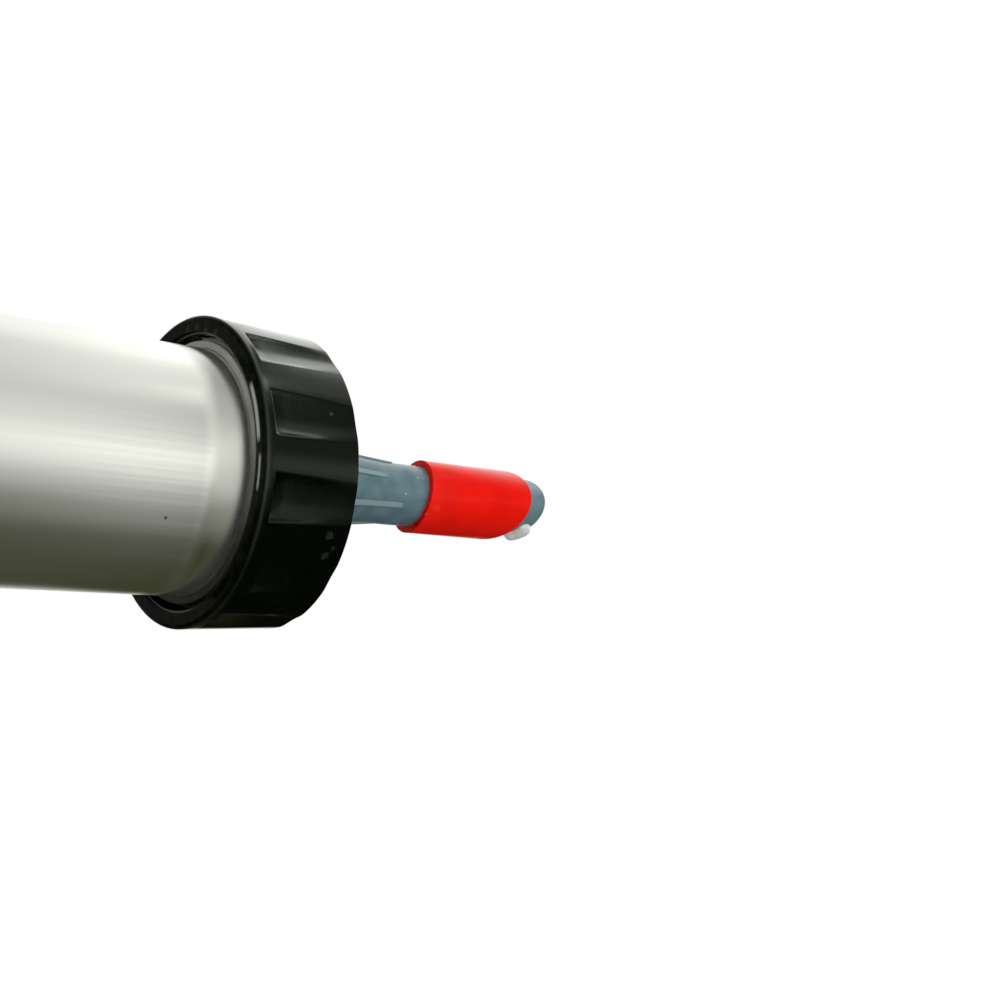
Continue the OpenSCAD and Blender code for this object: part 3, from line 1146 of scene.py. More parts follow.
@dataclass
class Pocket:
    """The shape that each grip pocket cuts out of the collar: a hollow floor and sloping walls."""

    floor_r: float = 34.0 * MM
    floor_curve: float = 24.0 * MM
    half_width: float = 5.0 * MM
    wall_slope: float = 38.0
    rear_draft: float = 14.0
    fillet: float = 0.7 * MM
    edge: float = 0.32 * MM
    slack: float = 0.5 * MM
    halvings: int = 24

    def cut(
        self, radius: float, degrees: float, behind: float, outer_r: float, front_r: float
    ) -> float:
        """How far a point lies in the space that the pocket takes out, or how far outside it.

        Args:
            radius: Distance of the point from the axis.
            degrees: Its angle from the pocket's middle.
            behind: Height of the point over the pocket's rear wall.
            outer_r: Radius of the collar at this height.
            front_r: Radius of the collar's front.

        Returns:
            A length that is positive in the pocket.
        """
        angle = math.radians(degrees)
        x, y = radius * math.cos(angle), abs(radius * math.sin(angle))
        centre = self.floor_r + self.floor_curve
        over_floor = self.floor_curve - math.hypot(x - centre, y)
        slope = math.radians(self.wall_slope)
        off_wall = (self.half_width + (x - front_r) * math.tan(slope) - y) * math.cos(slope)
        draft = math.radians(self.rear_draft)
        off_rear = behind * math.cos(draft) - (outer_r - radius) * math.sin(draft)
        walls = soft_min(off_wall, off_rear, self.fillet)
        return soft_min(over_floor, walls, self.fillet)

    def surface_r(self, outer_r: float, degrees: float, behind: float, front_r: float) -> float:
        """Radius of the collar's surface, pocket and eased edges included.

        Args:
            outer_r: Radius without the pocket.
            degrees: Angle from the pocket's middle.
            behind: Height over the pocket's rear wall.
            front_r: Radius of the collar's front.

        Returns:
            The radius, found by halving an interval.
        """
        low, high = self.floor_r - self.slack, outer_r + self.edge
        if low >= outer_r:
            return outer_r
        for _ in range(self.halvings):
            middle = (low + high) / 2
            removed = self.cut(middle, degrees, behind, outer_r, front_r)
            if -soft_min(outer_r - middle, -removed, self.edge) > 0:
                high = middle
            else:
                low = middle
        return low


@dataclass
class Collar:
    """The black ring nut: a tapered ring with grip pockets, its lip and its inner thread."""

    pocket: Pocket = field(default_factory=Pocket)
    pockets: int = 12
    first_pocket: float = 9.25
    floor_half: float = 7.0
    open_half: float = 10.4
    floor_steps: int = 16
    wall_steps: int = 14
    land_steps: int = 4
    band: float = 3.0 * MM
    rear_r: float = 35.4 * MM
    front_r: float = 34.5 * MM
    edge: float = 1.0 * MM
    front_edge: float = 0.4 * MM
    mouth_edge: float = 1.2 * MM
    lip_edge: float = 0.4 * MM
    groove_edge: float = 0.2 * MM
    wall_gap: float = 0.3 * MM
    lip_opening_r: float = 19.0 * MM
    groove_depth: float = 0.6 * MM
    thread_pitch: float = 3.0 * MM
    thread_depth: float = 0.25 * MM
    thread_start: float = 2.6 * MM
    thread_stop: float = 1.0 * MM
    wall_lead: float = 0.4 * MM
    wall_row: float = 0.09 * MM
    wall_rows: int = 16
    floor_row: float = 2.4 * MM

    def __post_init__(self) -> None:
        """Read the collar's place from the frame."""
        low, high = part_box("collar")
        self.rear_z, self.front_z = low.z, high.z
        self.lip_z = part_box("slip_washer")[1].z
        self.bore_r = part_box("thread_ring")[1].x + self.wall_gap
        self.band_z = self.rear_z + self.band

    def outer_r(self, z: float) -> float:
        """Radius of the tapered outer wall at a height."""
        share = (z - self.rear_z) / (self.front_z - self.rear_z)
        return self.rear_r + (self.front_r - self.rear_r) * share

    def _profile(self) -> list[Vector]:
        """Half section, with close rows of points at the pockets' rear walls.

        Returns:
            Its points in the XZ plane.
        """
        groove_r = self.bore_r + self.groove_depth
        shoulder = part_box("slip_washer")[0].z - self.wall_gap
        first = self.band_z - self.wall_lead
        rows = [first + self.wall_row * i for i in range(self.wall_rows)]
        top_z = self.front_z - 2 * self.front_edge
        count = max(2, round((top_z - rows[-1]) / self.floor_row))
        rows += [rows[-1] + (top_z - rows[-1]) * i / count for i in range(1, count + 1)]
        corners = [
            Corner(self.bore_r, self.rear_z, self.mouth_edge),
            Corner(self.rear_r, self.rear_z, self.edge),
            *[Corner(self.outer_r(z), z) for z in rows],
            Corner(self.front_r, self.front_z, self.front_edge),
            Corner(self.lip_opening_r, self.front_z, self.mouth_edge),
            Corner(self.lip_opening_r, self.lip_z, self.lip_edge),
            Corner(groove_r, self.lip_z, self.groove_edge),
            Corner(groove_r, shoulder),
            Corner(self.bore_r, shoulder, self.groove_edge),
        ]
        return rounded(corners)

    def _spin_sector(self, bm: bmesh.types.BMesh) -> None:
        """Spin one pocket and the land beside it, finer where the pocket has its side walls.

        Args:
            bm: An empty mesh.
        """
        verts = [bm.verts.new(p) for p in self._profile()]
        edges = [bm.edges.new(pair) for pair in zip(verts, verts[1:] + verts[:1])]
        turn = Matrix.Rotation(math.radians(self.first_pocket - self.open_half), 3, "Z")
        bmesh.ops.rotate(bm, verts=verts, cent=(0, 0, 0), matrix=turn)
        wall = self.open_half - self.floor_half
        land = 360 / self.pockets - 2 * self.open_half
        spans = (
            (wall, self.wall_steps), (2 * self.floor_half, self.floor_steps),
            (wall, self.wall_steps), (land, self.land_steps),
        )
        geom: list = verts + edges
        for degrees, steps in spans:
            result = bmesh.ops.spin(
                bm, geom=geom, cent=(0, 0, 0), axis=(0, 0, 1),
                angle=math.radians(degrees), steps=steps,
            )
            geom = result["geom_last"]

    def _sink_pocket(self, bm: bmesh.types.BMesh) -> None:
        """Move the outer points in to the pocket's surface.

        Args:
            bm: Mesh that holds the pocket's sector.
        """
        slack = self.pocket.slack
        for vert in bm.verts:
            radius = math.hypot(vert.co.x, vert.co.y)
            if vert.co.z < self.band_z - slack or radius < self.pocket.floor_r - slack:
                continue
            off = abs(math.degrees(math.atan2(vert.co.y, vert.co.x)) - self.first_pocket)
            behind = vert.co.z - self.band_z
            sunk = self.pocket.surface_r(radius, off, behind, self.front_r)
            vert.co.x *= sunk / radius
            vert.co.y *= sunk / radius

    def shell(self) -> bmesh.types.BMesh:
        """The moulded ring: one sector with its pocket, repeated all the way round.

        Returns:
            The ring.
        """
        bm = bmesh.new()
        self._spin_sector(bm)
        self._sink_pocket(bm)
        repeat_round(bm, self.pockets)
        return bm

    def thread(self) -> bmesh.types.BMesh:
        """The inner thread, which stands out towards the axis.

        Returns:
            The thread.
        """
        bm = bmesh.new()
        Thread(
            root_r=self.bore_r + HAIR, depth=-self.thread_depth, pitch=self.thread_pitch,
            low=self.rear_z + self.thread_start,
            high=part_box("slip_washer")[0].z - self.thread_stop,
        ).add_to(bm)
        return bm

    def build(self, finishes: "Finishes") -> None:
        """Make and dress the collar.

        Args:
            finishes: All finishes.
        """
        Piece("collar_shell", Body.COLLAR, Slot.COLLAR, ("collar",)).place(
            self.shell(), finishes.collar
        )
        Piece("collar_thread", Body.COLLAR, Slot.COLLAR).place(self.thread(), finishes.collar)
        dress_node("slip_washer", finishes.washer)


@dataclass
class Cartridge:
    """The cartridge in the barrel: its shell and neck thread, the piston and the sealant."""

    neck_r: float = 7.5 * MM
    thread_depth: float = 0.2 * MM
    thread_pitch: float = 2.5 * MM
    thread_start: float = 1.5 * MM
    thread_stop: float = 0.8 * MM

    def neck_thread(self) -> bmesh.types.BMesh:
        """The thread on the neck.

        Returns:
            The thread.
        """
        bm = bmesh.new()
        Thread(
            root_r=self.neck_r, depth=self.thread_depth, pitch=self.thread_pitch,
            low=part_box("slip_washer")[0].z + self.thread_start,
            high=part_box("cartridge_shell")[1].z - self.thread_stop,
        ).add_to(bm)
        return bm

    def build(self, finishes: "Finishes") -> None:
        """Make and dress the cartridge's pieces.

        Args:
            finishes: All finishes.
        """
        Piece("neck_thread", Body.BARREL, Slot.CARTRIDGE).place(
            self.neck_thread(), finishes.cartridge
        )
        dress_node("cartridge_shell", finishes.cartridge)
        dress_node("cartridge_piston", finishes.piston)
        dress_node("sealant_fill", finishes.sealant)


@dataclass
class Nozzle:
    """The ribbed nozzle with its slanted tip, and the sealant in it."""

    slant: Slant = Slant()
    ribs: int = 7
    first_rib: float = 9.0
    rib_half: float = 4.9
    rib_flank: float = 0.9
    rib_height: float = 0.45 * MM
    rib_end_height: float = 0.3 * MM
    rib_run: float = 0.4 * MM
    rib_stagger: float = 2.2 * MM
    rib_foot: float = 0.1 * MM
    skirt_r: float = 10.4 * MM
    skirt_bore_r: float = 7.8 * MM
    skirt_length: float = 16.4 * MM
    cone_length: float = 7.0 * MM
    cone_step: float = 0.85 * MM
    taper_length: float = 11.0 * MM
    tube_r: float = 7.75 * MM
    wall: float = 1.2 * MM
    length: float = 78.7 * MM
    rib_ease: float = 0.12 * MM
    rim_edge: float = 0.25 * MM
    bore_ease: float = 4.0 * MM
    bore_edge: float = 0.3 * MM
    skirt_edge: float = 0.4 * MM
    step_gap: float = 0.9 * MM
    thread_depth: float = 0.2 * MM
    thread_pitch: float = 2.5 * MM
    thread_end: float = 1.0 * MM
    rows: int = 6
    land_steps: int = 12

    def __post_init__(self) -> None:
        """Read the nozzle's place from the frame."""
        self.base_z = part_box("nozzle")[0].z
        self.skirt_z = self.base_z + self.skirt_length
        self.cone_z = self.skirt_z + self.cone_length
        self.taper_z = self.cone_z + self.taper_length
        self.tip_z = self.base_z + self.length
        self.step_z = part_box("cartridge_shell")[1].z + self.step_gap

    def stations(self) -> tuple:
        """Heights and radii between which the outside runs straight."""
        knee_r = self.tube_r + self.cone_step
        return (self.skirt_z, self.skirt_r), (self.cone_z, knee_r), (self.taper_z, self.tube_r)

    def body_r(self, z: float) -> float:
        """Outer radius between the ribs at a height."""
        return self._along(z, *self.stations())

    @staticmethod
    def _along(z: float, *stations: tuple[float, float]) -> float:
        """Radius at a height on the line through stations.

        Args:
            z: The height.
            stations: Height and radius of each station, upwards.

        Returns:
            The radius.
        """
        if z <= stations[0][0]:
            return stations[0][1]
        for (low_z, low_r), (high_z, high_r) in zip(stations, stations[1:]):
            if z <= high_z:
                return low_r + (high_r - low_r) * (z - low_z) / (high_z - low_z)
        return stations[-1][1]

    def rib_r(self, z: float, is_long: bool) -> float:
        """Radius of a rib's crest at a height, or 0 where there is none.

        Args:
            z: Height.
            is_long: Whether it is one of the long ribs.

        Returns:
            The crest's radius.
        """
        end_z = self.taper_z + self.rib_run + (self.rib_stagger if is_long else -self.rib_stagger)
        first_z = self.base_z + self.rib_height
        if z < first_z - TINY or z > end_z + TINY:
            return 0.0
        if z <= first_z + TINY:
            return self.skirt_r + self.rib_foot
        return self._along(
            z, (self.skirt_z, self.skirt_r + self.rib_height),
            (self.cone_z, self.tube_r + self.cone_step + self.rib_height),
            (end_z, self.tube_r + self.rib_end_height),
        )

    def _rows(self) -> list[float]:
        """Heights of the rows of points on the outside.

        Returns:
            The heights, upwards.
        """
        ends = [self.taper_z + self.rib_run + way * self.rib_stagger for way in (-1, 1)]
        rows = [self.base_z + self.rib_height, self.base_z + 2 * self.rib_height, self.skirt_z]
        for low, high in ((self.skirt_z, self.cone_z), (self.cone_z, self.taper_z)):
            rows += [low + (high - low) * i / self.rows for i in range(1, self.rows + 1)]
        rows += [z + ease for z in ends for ease in (0, self.rib_ease)]
        return sorted(set(rows))

    def shell(self) -> bmesh.types.BMesh:
        """The moulded nozzle: body, ribs and bore in one shell.

        Returns:
            The shell.
        """
        bore_r = self.tube_r - self.wall
        top = self.tip_z + self.tube_r
        corners = [
            Corner(bore_r, top), Corner(bore_r, self.taper_z, self.bore_ease),
            Corner(self.skirt_bore_r, self.step_z, self.bore_edge),
            Corner(self.skirt_bore_r, self.base_z, self.bore_edge),
            Corner(self.skirt_r, self.base_z, self.skirt_edge),
            *[Corner(self.body_r(z), z) for z in self._rows()],
            Corner(self.tube_r, top),
        ]
        bm = bmesh.new()
        verts = [bm.verts.new(p) for p in rounded(corners, closed=False, steps=4)]
        edges = [bm.edges.new(pair) for pair in zip(verts, verts[1:])]
        turn = Matrix.Rotation(math.radians(self.first_rib - self.rib_half), 3, "Z")
        bmesh.ops.rotate(bm, verts=verts, cent=(0, 0, 0), matrix=turn)
        crest = 2 * (self.rib_half - self.rib_flank)
        land = 360 / self.ribs - 2 * self.rib_half
        spans = ((self.rib_flank, 1), (crest, 2), (self.rib_flank, 1), (land, self.land_steps))
        geom: list = verts + edges
        for _ in range(self.ribs):
            for degrees, steps in spans:
                result = bmesh.ops.spin(
                    bm, geom=geom, cent=(0, 0, 0), axis=(0, 0, 1),
                    angle=math.radians(degrees), steps=steps,
                )
                geom = result["geom_last"]
        weld(bm, 0.01 * MM)
        self._raise_ribs(bm)
        round_edges(bm, cut_slant(bm, self.tip_z, self.slant), self.rim_edge, 2)
        return bm

    def _raise_ribs(self, bm: bmesh.types.BMesh) -> None:
        """Move the ribs' points out to their crests.

        Args:
            bm: The nozzle's shell.
        """
        pitch = 360 / self.ribs
        crest_half = self.rib_half - self.rib_flank
        for vert in bm.verts:
            radius = math.hypot(vert.co.x, vert.co.y)
            if radius < self.body_r(vert.co.z) - 0.01 * MM:
                continue
            angle = math.degrees(math.atan2(vert.co.y, vert.co.x)) - self.first_rib
            number = round(angle / pitch)
            if abs(angle - number * pitch) > crest_half + 0.01:
                continue
            crest = self.rib_r(vert.co.z, number % self.ribs % 2 == 0)
            if crest > radius:
                vert.co.x *= crest / radius
                vert.co.y *= crest / radius

    def skirt_thread(self) -> bmesh.types.BMesh:
        """The inner thread of the skirt, seen faintly through its wall.

        Returns:
            The thread.
        """
        bm = bmesh.new()
        Thread(
            root_r=self.skirt_bore_r + HAIR, depth=-self.thread_depth, pitch=self.thread_pitch,
            low=self.base_z + self.thread_end, high=self.step_z - self.thread_end,
        ).add_to(bm)
        return bm

    def build(self, finishes: "Finishes") -> None:
        """Make and dress the nozzle and what is in it.

        Args:
            finishes: All finishes.
        """
        Piece("nozzle_shell", Body.NOZZLE, Slot.NOZZLE, ("nozzle",)).place(
            self.shell(), finishes.nozzle
        )
        Piece("nozzle_thread", Body.NOZZLE, Slot.NOZZLE).place(
            self.skirt_thread(), finishes.nozzle
        )
        dress_node("nozzle_sealant", finishes.sealant)


@dataclass
class Bead:
    """The sealant in the slanted mouth, and the roll of it that hangs out over the rim."""

    slant: Slant = Slant()
    roll_from: float = 143.0
    roll_to: float = 161.0
    roll_offset: float = 7.0 * MM
    roll_drop: float = 0.9 * MM
    roll_r: float = 2.45 * MM
    roll_change: float = 0.05
    balls: int = 5
    plug: tuple = (
        (0.0, 0.0, 2.2 * MM, 4.6 * MM),
        (2.4 * MM, 180.0, 3.6 * MM, 3.9 * MM),
        (2.4 * MM, 0.0, 1.2 * MM, 3.6 * MM),
    )
    gap: float = 0.05 * MM
    voxel: float = 0.2 * MM
    ripple: float = 0.1 * MM
    ripple_fineness: float = 420.0
    still: float = 1.0 * MM
    proud: float = 0.4 * MM
    room_below: float = 2.0 * MM
    ease: float = 0.5
    ease_rounds: int = 6

    def blobs(self, tip_z: float) -> list[tuple[Vector, float]]:
        """Balls that make up the bulge.

        The plug in the mouth gives each ball's offset, turn from the slant's side, drop and radius.
        The roll has a row of balls over the rim and one half way in, of two sizes by turns.

        Args:
            tip_z: Height at which the slanted mouth crosses the axis.

        Returns:
            Centre and radius of each ball.
        """
        rise = math.tan(math.radians(self.slant.angle))
        blobs = [
            (polar(offset, self.slant.side + turn, tip_z - drop), radius)
            for offset, turn, drop, radius in self.plug
        ]
        for i in range(self.balls):
            side = self.roll_from + (self.roll_to - self.roll_from) * i / (self.balls - 1)
            lean = math.cos(math.radians(side - self.slant.side))
            size = self.roll_r * (1 - self.roll_change * (i % 2))
            for out, down in ((1.0, 1.0), (0.5, 0.7)):
                offset, drop = self.roll_offset * out, self.roll_drop * down
                blobs.append((polar(offset, side, tip_z - drop + offset * rise * lean), size))
        return blobs

    def _wall_room(self, nozzle: Nozzle, low_z: float) -> bmesh.types.BMesh:
        """The room that the nozzle's wall takes up, which the bulge leaves free.

        Args:
            nozzle: The nozzle that holds the bead.
            low_z: Height at which the room may begin.

        Returns:
            A closed ring under the slanted plane.
        """
        inner = nozzle.tube_r - nozzle.wall - self.gap
        outer = nozzle.tube_r + self.gap
        top = nozzle.tip_z + 2 * nozzle.tube_r
        corners = [Corner(inner, top), Corner(inner, low_z), Corner(outer, low_z), Corner(outer, top)]
        bm = spin_profile(rounded(corners, closed=False), False, 96)
        cut_slant(bm, nozzle.tip_z + self.gap, self.slant)
        return bm

    def mesh(self, nozzle: Nozzle) -> bmesh.types.BMesh:
        """Plug and bulge, merged into one skin and smoothed.

        Args:
            nozzle: The nozzle that holds the bead.

        Returns:
            The bead's mesh.
        """
        low_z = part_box("tip_bead")[0].z
        plug_r = nozzle.tube_r - nozzle.wall - self.gap
        bm = bmesh.new()
        top = nozzle.tip_z + nozzle.tube_r
        bmesh.ops.create_cone(
            bm, cap_ends=True, segments=64, radius1=plug_r, radius2=plug_r, depth=top - low_z,
            matrix=Matrix.Translation((0, 0, (top + low_z) / 2)),
        )
        bmesh.ops.bisect_plane(
            bm, geom=bm.verts[:] + bm.edges[:] + bm.faces[:], dist=TINY,
            plane_co=(0, 0, nozzle.tip_z + self.proud), plane_no=self.slant.normal(),
            clear_outer=True,
        )
        bmesh.ops.holes_fill(bm, edges=[e for e in bm.edges if e.is_boundary])
        for centre, radius in self.blobs(nozzle.tip_z):
            bmesh.ops.create_icosphere(
                bm, subdivisions=4, radius=radius, matrix=Matrix.Translation(centre)
            )
        merged = self._skin(bm, self._wall_room(nozzle, low_z - self.room_below))
        for vert in merged.verts:
            if math.hypot(vert.co.x, vert.co.y) < plug_r and vert.co.z < low_z + self.still:
                continue
            vert.co += vert.normal * noise.noise(vert.co * self.ripple_fineness) * self.ripple
        return merged

    def _skin(self, bm: bmesh.types.BMesh, room: bmesh.types.BMesh) -> bmesh.types.BMesh:
        """One smooth skin around overlapping closed shapes, with some room cut out of it.

        Args:
            bm: The overlapping shapes, which are freed.
            room: The room to leave free, which is freed.

        Returns:
            The skin.
        """
        holders = []
        for name, shape in (("bead_parts", bm), ("bead_room", room)):
            mesh = bpy.data.meshes.new(name)
            shape.to_mesh(mesh)
            shape.free()
            holder = bpy.data.objects.new(name, mesh)
            bpy.context.scene.collection.objects.link(holder)
            holders.append(holder)
        remesh = holders[0].modifiers.new("skin", "REMESH")
        remesh.mode = "VOXEL"
        remesh.voxel_size = self.voxel
        smooth = holders[0].modifiers.new("ease", "SMOOTH")
        smooth.factor = self.ease
        smooth.iterations = self.ease_rounds
        cut = holders[0].modifiers.new("room", "BOOLEAN")
        cut.operation = "DIFFERENCE"
        cut.solver = "EXACT"
        cut.object = holders[1]
        skin = bmesh.new()
        skin.from_object(holders[0], bpy.context.evaluated_depsgraph_get())
        for holder in holders:
            mesh = holder.data
            bpy.data.objects.remove(holder)
            bpy.data.meshes.remove(mesh)
        return skin

    def build(self, nozzle: Nozzle, finishes: "Finishes") -> None:
        """Make and dress the bead.

        Args:
            nozzle: The nozzle that holds the bead.
            finishes: All finishes.
        """
        Piece("sealant_bead", Body.NOZZLE, Slot.SEALANT, ("tip_bead",)).place(
            self.mesh(nozzle), finishes.sealant, sharp_above=80
        )


@dataclass
class Sleeve:
    """The red sleeve on the nozzle, with its slanted front end and its slightly skew rear end."""

    slant: Slant = Slant()
    rear: Slant = Slant(11.0, 326.0)
    gap: float = 0.3 * MM
    tip_reach: float = 7.5 * MM
    rear_edge: float = 0.6 * MM
    rim_edge: float = 0.35 * MM
    steps: int = 96

    def shell(self, nozzle: Nozzle) -> bmesh.types.BMesh:
        """The sleeve: a tube cut along two planes, its rear end fully rounded.

        Args:
            nozzle: The nozzle that the sleeve is on.

        Returns:
            The sleeve.
        """
        low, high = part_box("nozzle_sleeve")
        inner, outer = nozzle.tube_r + self.gap, high.x
        rear_z = low.z + outer * math.tan(math.radians(self.rear.angle))
        front_z = nozzle.tip_z - self.tip_reach
        corners = [
            Corner(inner, nozzle.tip_z), Corner(inner, nozzle.taper_z),
            Corner(outer, nozzle.taper_z), Corner(outer, nozzle.tip_z),
        ]
        bm = bmesh.new()
        for wall in (corners[:2], corners[2:]):
            line = [bm.verts.new((c.r, 0, c.z)) for c in wall]
            edge = bm.edges.new(line)
            bmesh.ops.spin(
                bm, geom=[*line, edge], cent=(0, 0, 0), axis=(0, 0, 1), angle=math.tau,
                steps=self.steps, use_merge=True,
            )
        weld(bm)
        rear = cut_slant(bm, rear_z, self.rear, behind=True)
        round_edges(bm, rear, self.rear_edge, 4)
        round_edges(bm, cut_slant(bm, front_z, self.slant), self.rim_edge, 3)
        return bm

    def build(self, nozzle: Nozzle, finishes: "Finishes") -> None:
        """Make and dress the sleeve.

        Args:
            nozzle: The nozzle that the sleeve is on.
            finishes: All finishes.
        """
        Piece("red_sleeve", Body.SLEEVE, Slot.SLEEVE, ("nozzle_sleeve",)).place(
            self.shell(nozzle), finishes.sleeve
        )


class Finishes:
    """All finishes of the part, built once.

    Each glint arc, a painted highlight, has its radius, width, middle, half span and strength. The
    other marks are for spots.
    """

    COLLAR_SCUFFS = (
        (34.1, 66.2, 226.2, 0.5, 0.2), (34.7, 111.3, 227.4, 1.1, 0.12), (34.6, 115.8, 229.2, 0.7, 0.08),
        (34.7, 119.2, 227.8, 0.9, 0.1), (32.5, -3.6, 208.0, 1.2, 0.12), (32.6, 3.8, 208.0, 1.0, 0.16),
        (32.0, 11.0, 208.0, 0.9, 0.2), (32.4, 19.2, 208.0, 1.0, 0.16),
    )
    # Painted highlight: pale arcs on the collar's rear lip that stand in for glints.
    COLLAR_GLINT_ARCS = (
        (32.95 * MM, 0.75 * MM, math.radians(68.0), math.radians(12.5), 0.85),
        (33.5 * MM, 0.5 * MM, math.radians(91.0), math.radians(7.0), 0.6),
    )
    NOZZLE_SPECKS = (
        (7.75, 56.1, 269.4, 0.3, 0.8), (7.75, 55.1, 270.5, 0.2, 0.6), (7.75, 55.6, 271.3, 0.2, 0.6),
        (7.75, 54.5, 272.6, 0.2, 0.6), (7.75, 90.4, 265.1, 0.3, 0.6),
    )
    SLEEVE_SPECKS = ((9.35, 119.2, 271.4, 0.35, 0.7), (9.35, 107.7, 274.0, 1.2, 0.14))

    @staticmethod
    def spots(marks: Iterable[tuple]) -> tuple:
        """Spots for a finish.

        Args:
            marks: Radius, angle and height of each in mm and degrees, its size in mm and strength.

        Returns:
            Centre, size and strength of each in metres.
        """
        return tuple(
            (polar(r * MM, side, z * MM), size * MM, share) for r, side, z, size, share in marks
        )

    def __init__(self, effects: Effects, nozzle: "Nozzle") -> None:
        """Build every material.

        Args:
            effects: The shared effect groups.
            nozzle: The nozzle, whose ribs the finish follows.
        """
        collar_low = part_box("collar")[0].z
        self.barrel = DrawnAluminium(
            "satin_drawn_aluminium", roll_z=collar_low - 7.0 * MM,
            spots=((polar(28 * MM, 114.2, 191.9 * MM), 0.35 * MM),),
        ).build(effects)
        self.ring = TurnedAluminium("turned_aluminium", {"Metallic": 0.25}).build(effects)
        self.collar = MouldedPlastic(
            "glossy_black_moulding",
            {"IOR": 1.5, "Specular IOR Level": 0.5, "Specular Tint": (0.92, 1.0, 0.86, 1.0)},
            colour=srgb(4, 7, 4), shade=srgb(2, 5, 2), dust=srgb(96, 104, 96), dust_share=0.04,
            rough_low=0.07, rough_high=0.13, grain_height=0.000002, wave_height=0.00003,
            bands=((collar_low, 0.5 * MM),), spots=self.spots(self.COLLAR_SCUFFS),
            arcs=self.COLLAR_GLINT_ARCS, arcs_below=collar_low + 3.0 * MM,
        ).build(effects)
        self.washer = MouldedPlastic(
            "white_washer_moulding", {"IOR": 1.5},
            colour=srgb(226, 226, 220), shade=srgb(206, 206, 198), rough_low=0.4, rough_high=0.55,
        ).build(effects)
        self.cartridge = MouldedPlastic(
            "cartridge_moulding", {"IOR": 1.5, "Subsurface Weight": 0.1, "Subsurface Scale": 0.002},
            colour=srgb(232, 233, 230), shade=srgb(214, 215, 212), dust_share=0.15,
            rough_low=0.35, rough_high=0.5,
        ).build(effects)
        self.piston = MouldedPlastic(
            "piston_moulding", {"IOR": 1.5}, colour=srgb(218, 218, 210), shade=srgb(198, 198, 190),
            dust_share=0.2, rough_low=0.4, rough_high=0.55,
        ).build(effects)
        self.sealant = MouldedPlastic(
            "sealant_paste",
            {"IOR": 1.45, "Subsurface Weight": 0.25, "Subsurface Scale": 0.002, "Coat Weight": 0.2},
            colour=srgb(230, 232, 228), shade=srgb(210, 213, 210), rough_low=0.28, rough_high=0.42,
            wave_height=0.00008, waves=500.0,
        ).build(effects)
        self.nozzle = RibbedPlastic(
            "translucent_moulding",
            {"IOR": 1.5, "Specular IOR Level": 0.45, "Transmission Weight": 0.2},
            colour=srgb(111, 140, 149), shade=srgb(97, 126, 136), dust=srgb(190, 205, 206),
            rough_low=0.285, rough_high=0.34, grain_height=0.000001, wave_height=0.00003, waves=200.0,
            stations=nozzle.stations(), spots=self.spots(self.NOZZLE_SPECKS),
        ).build(effects)
        self.sleeve = MouldedPlastic(
            "red_moulding", {"IOR": 1.5, "Specular IOR Level": 0.14},
            colour=srgb(242, 20, 2), shade=srgb(232, 15, 1), dust=srgb(240, 96, 76), dust_share=0.03,
            rough_low=0.2, rough_high=0.26, grain_height=0.000001, wave_height=0.00002,
            spots=self.spots(self.SLEEVE_SPECKS),
        ).build(effects)
        self.floor = StudioFloor("pale_floor", {"Roughness": 0.6}).build(effects)


@dataclass(frozen=True)
class PhotoView:
    """The camera of the photograph, found by fitting the barrel, collar, nozzle and sleeve."""

    lens: float = 52.13
    film: float = 36.0
    turn: float = 40.38
    dip: float = 4.85
    axis_right: float = -71.47 * MM
    axis_down: float = -6.42 * MM
    axis_ahead: float = 324.79 * MM

    def build(self) -> bpy.types.Object:
        """Make the camera, at the place from which the collar's rear rim lies as in the photo.

        Returns:
            The camera object.
        """
        turn, dip = math.radians(self.turn), math.radians(self.dip)
        axis = Vector((math.cos(dip) * math.cos(turn), math.sin(dip), math.cos(dip) * math.sin(turn)))
        up_side = Vector((0, -1, 0))
        x_axis = (up_side - axis * up_side.dot(axis)).normalized()
        y_axis = axis.cross(x_axis)
        to_part = Matrix((x_axis, y_axis, axis))
        rim = Vector((self.axis_right, self.axis_down, self.axis_ahead))
        place = to_part @ -rim + Vector((0, 0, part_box("collar")[0].z))
        right, down, ahead = (to_part @ Vector(v) for v in ((1, 0, 0), (0, 1, 0), (0, 0, 1)))
        turned = Matrix((right, -down, -ahead)).transposed().to_4x4()
        data = bpy.data.cameras.new("photo_camera")
        data.lens = self.lens
        data.sensor_width = self.film
        data.sensor_fit = "HORIZONTAL"
        data.clip_start = 1 * MM
        camera = bpy.data.objects.new("photo_camera", data)
        camera.matrix_world = Matrix.Translation(place) @ turned
        bpy.context.scene.collection.objects.link(camera)
        bpy.context.scene.camera = camera
        return camera


@dataclass(frozen=True)
class Lamp:
    """One soft box: its place, aim, size and power."""

    name: str
    place: tuple
    aim: tuple
    width: float
    height: float
    power: float

    def build(self) -> None:
        """Make the lamp, hidden from the camera and from shiny surfaces."""
        data = bpy.data.lights.new(self.name, "AREA")
        data.shape = "RECTANGLE"
        data.size = self.width
        data.size_y = self.height
        data.energy = self.power
        lamp = bpy.data.objects.new(self.name, data)
        place = Vector(self.place)
        lamp.matrix_world = Matrix.Translation(place) @ (
            (Vector(self.aim) - place).to_track_quat("-Z", "Y").to_matrix().to_4x4()
        )
        lamp.visible_camera = False
        lamp.visible_glossy = False
        bpy.context.scene.collection.objects.link(lamp)


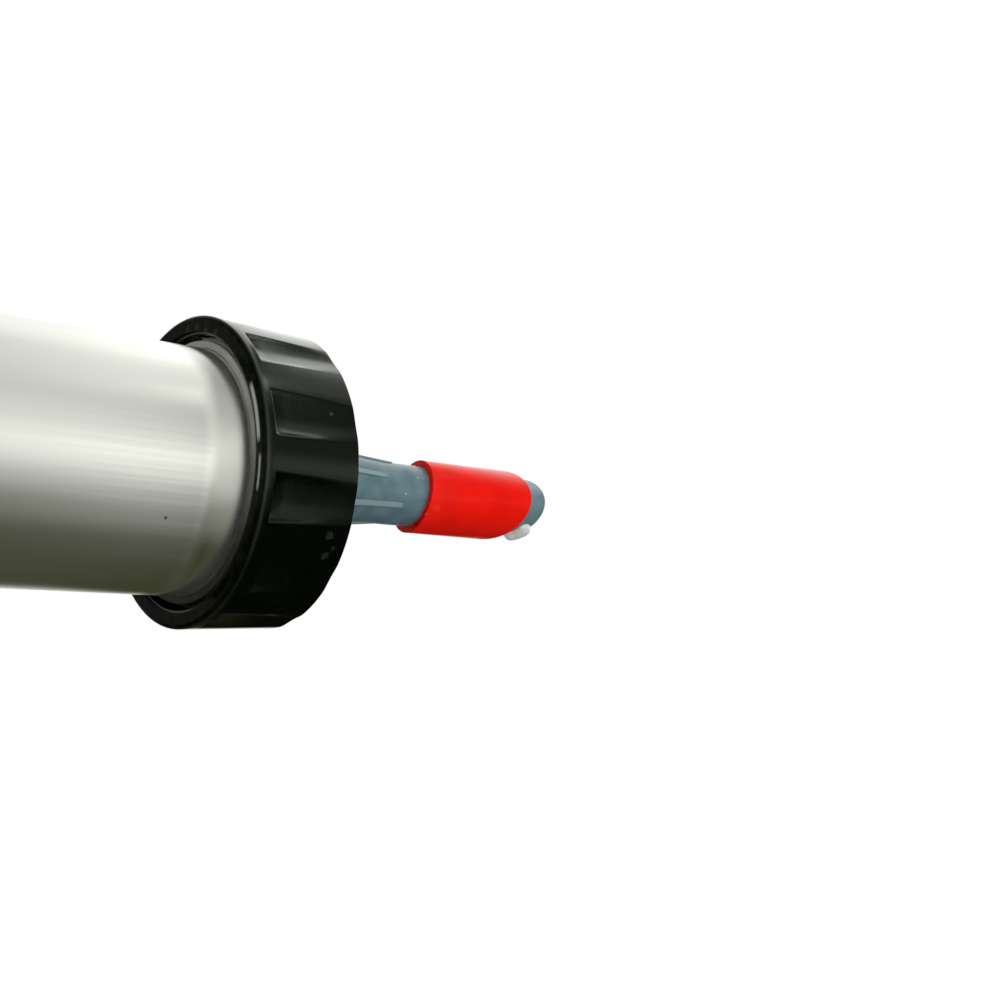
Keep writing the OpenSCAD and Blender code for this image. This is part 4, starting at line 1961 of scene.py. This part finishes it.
class Studio:
    """Floor, soft boxes, white background and camera."""

    LAMPS = (
        Lamp("key_box", (0.5, 0.66, 0.4), (0, 0, 0.18), 0.5, 0.7, 2.6),
        Lamp("front_strip", (0.05, 0.9, 0.55), (0, 0, 0.18), 0.25, 0.7, 1.0),
        Lamp("top_box", (0.0, 0.0, 1.3), (0, 0, 0.2), 0.8, 0.8, 3.0),
    )

    def __init__(self, finishes: Finishes) -> None:
        """Keep the finishes."""
        self.finishes = finishes

    def build(self) -> None:
        """Make all of it."""
        PhotoView().build()
        for lamp in self.LAMPS:
            lamp.build()
        self._floor()
        self._world()
        bpy.context.scene.view_settings.view_transform = "Standard"

    def _floor(self) -> None:
        """A round floor with the rear end standing on it."""
        bm = bmesh.new()
        bmesh.ops.create_circle(bm, cap_ends=True, segments=96, radius=4.0)
        mesh = bpy.data.meshes.new("studio_floor")
        bm.to_mesh(mesh)
        bm.free()
        mesh.materials.append(self.finishes.floor)
        floor = bpy.data.objects.new("studio_floor", mesh)
        bpy.context.scene.collection.objects.link(floor)

    def _world(self) -> None:
        """White for the camera, dimmer as light; shiny surfaces see the surroundings in it."""
        world = bpy.data.worlds.new("studio")
        bpy.context.scene.world = world
        world.use_nodes = True
        world.node_tree.nodes.clear()
        nodes = Nodes(world.node_tree)
        path = nodes.add("ShaderNodeLightPath")
        direction = nodes.add("ShaderNodeTexCoord").outputs["Generated"]
        mirrored = Cyclorama.colour(nodes, direction)
        light = nodes.add("ShaderNodeBackground", {"Color": (1, 1, 1, 1), "Strength": 0.5})
        glossy = nodes.add("ShaderNodeBackground", {"Color": mirrored, "Strength": 1.0})
        white = nodes.add("ShaderNodeBackground", {"Color": (1, 1, 1, 1), "Strength": 1.0})
        first = nodes.add(
            "ShaderNodeMixShader",
            {0: path.outputs["Is Glossy Ray"], 1: light.outputs[0], 2: glossy.outputs[0]},
        )
        seen = nodes.math("MAXIMUM", path.outputs["Is Camera Ray"], path.outputs["Is Transmission Ray"])
        last = nodes.add("ShaderNodeMixShader", {0: seen, 1: first.outputs[0], 2: white.outputs[0]})
        output = nodes.add("ShaderNodeOutputWorld")
        nodes.link(last.outputs[0], output, 0)


def main() -> None:
    """Build the part's pieces in order, then the studio."""
    logging.basicConfig(level=logging.INFO, format="%(name)s: %(message)s")
    nozzle = Nozzle()
    finishes = Finishes(Effects(), nozzle)
    Barrel().build(finishes)
    Collar().build(finishes)
    Cartridge().build(finishes)
    nozzle.build(finishes)
    Bead().build(nozzle, finishes)
    Sleeve().build(nozzle, finishes)
    Studio(finishes).build()


if __name__ == "__main__":
    main()
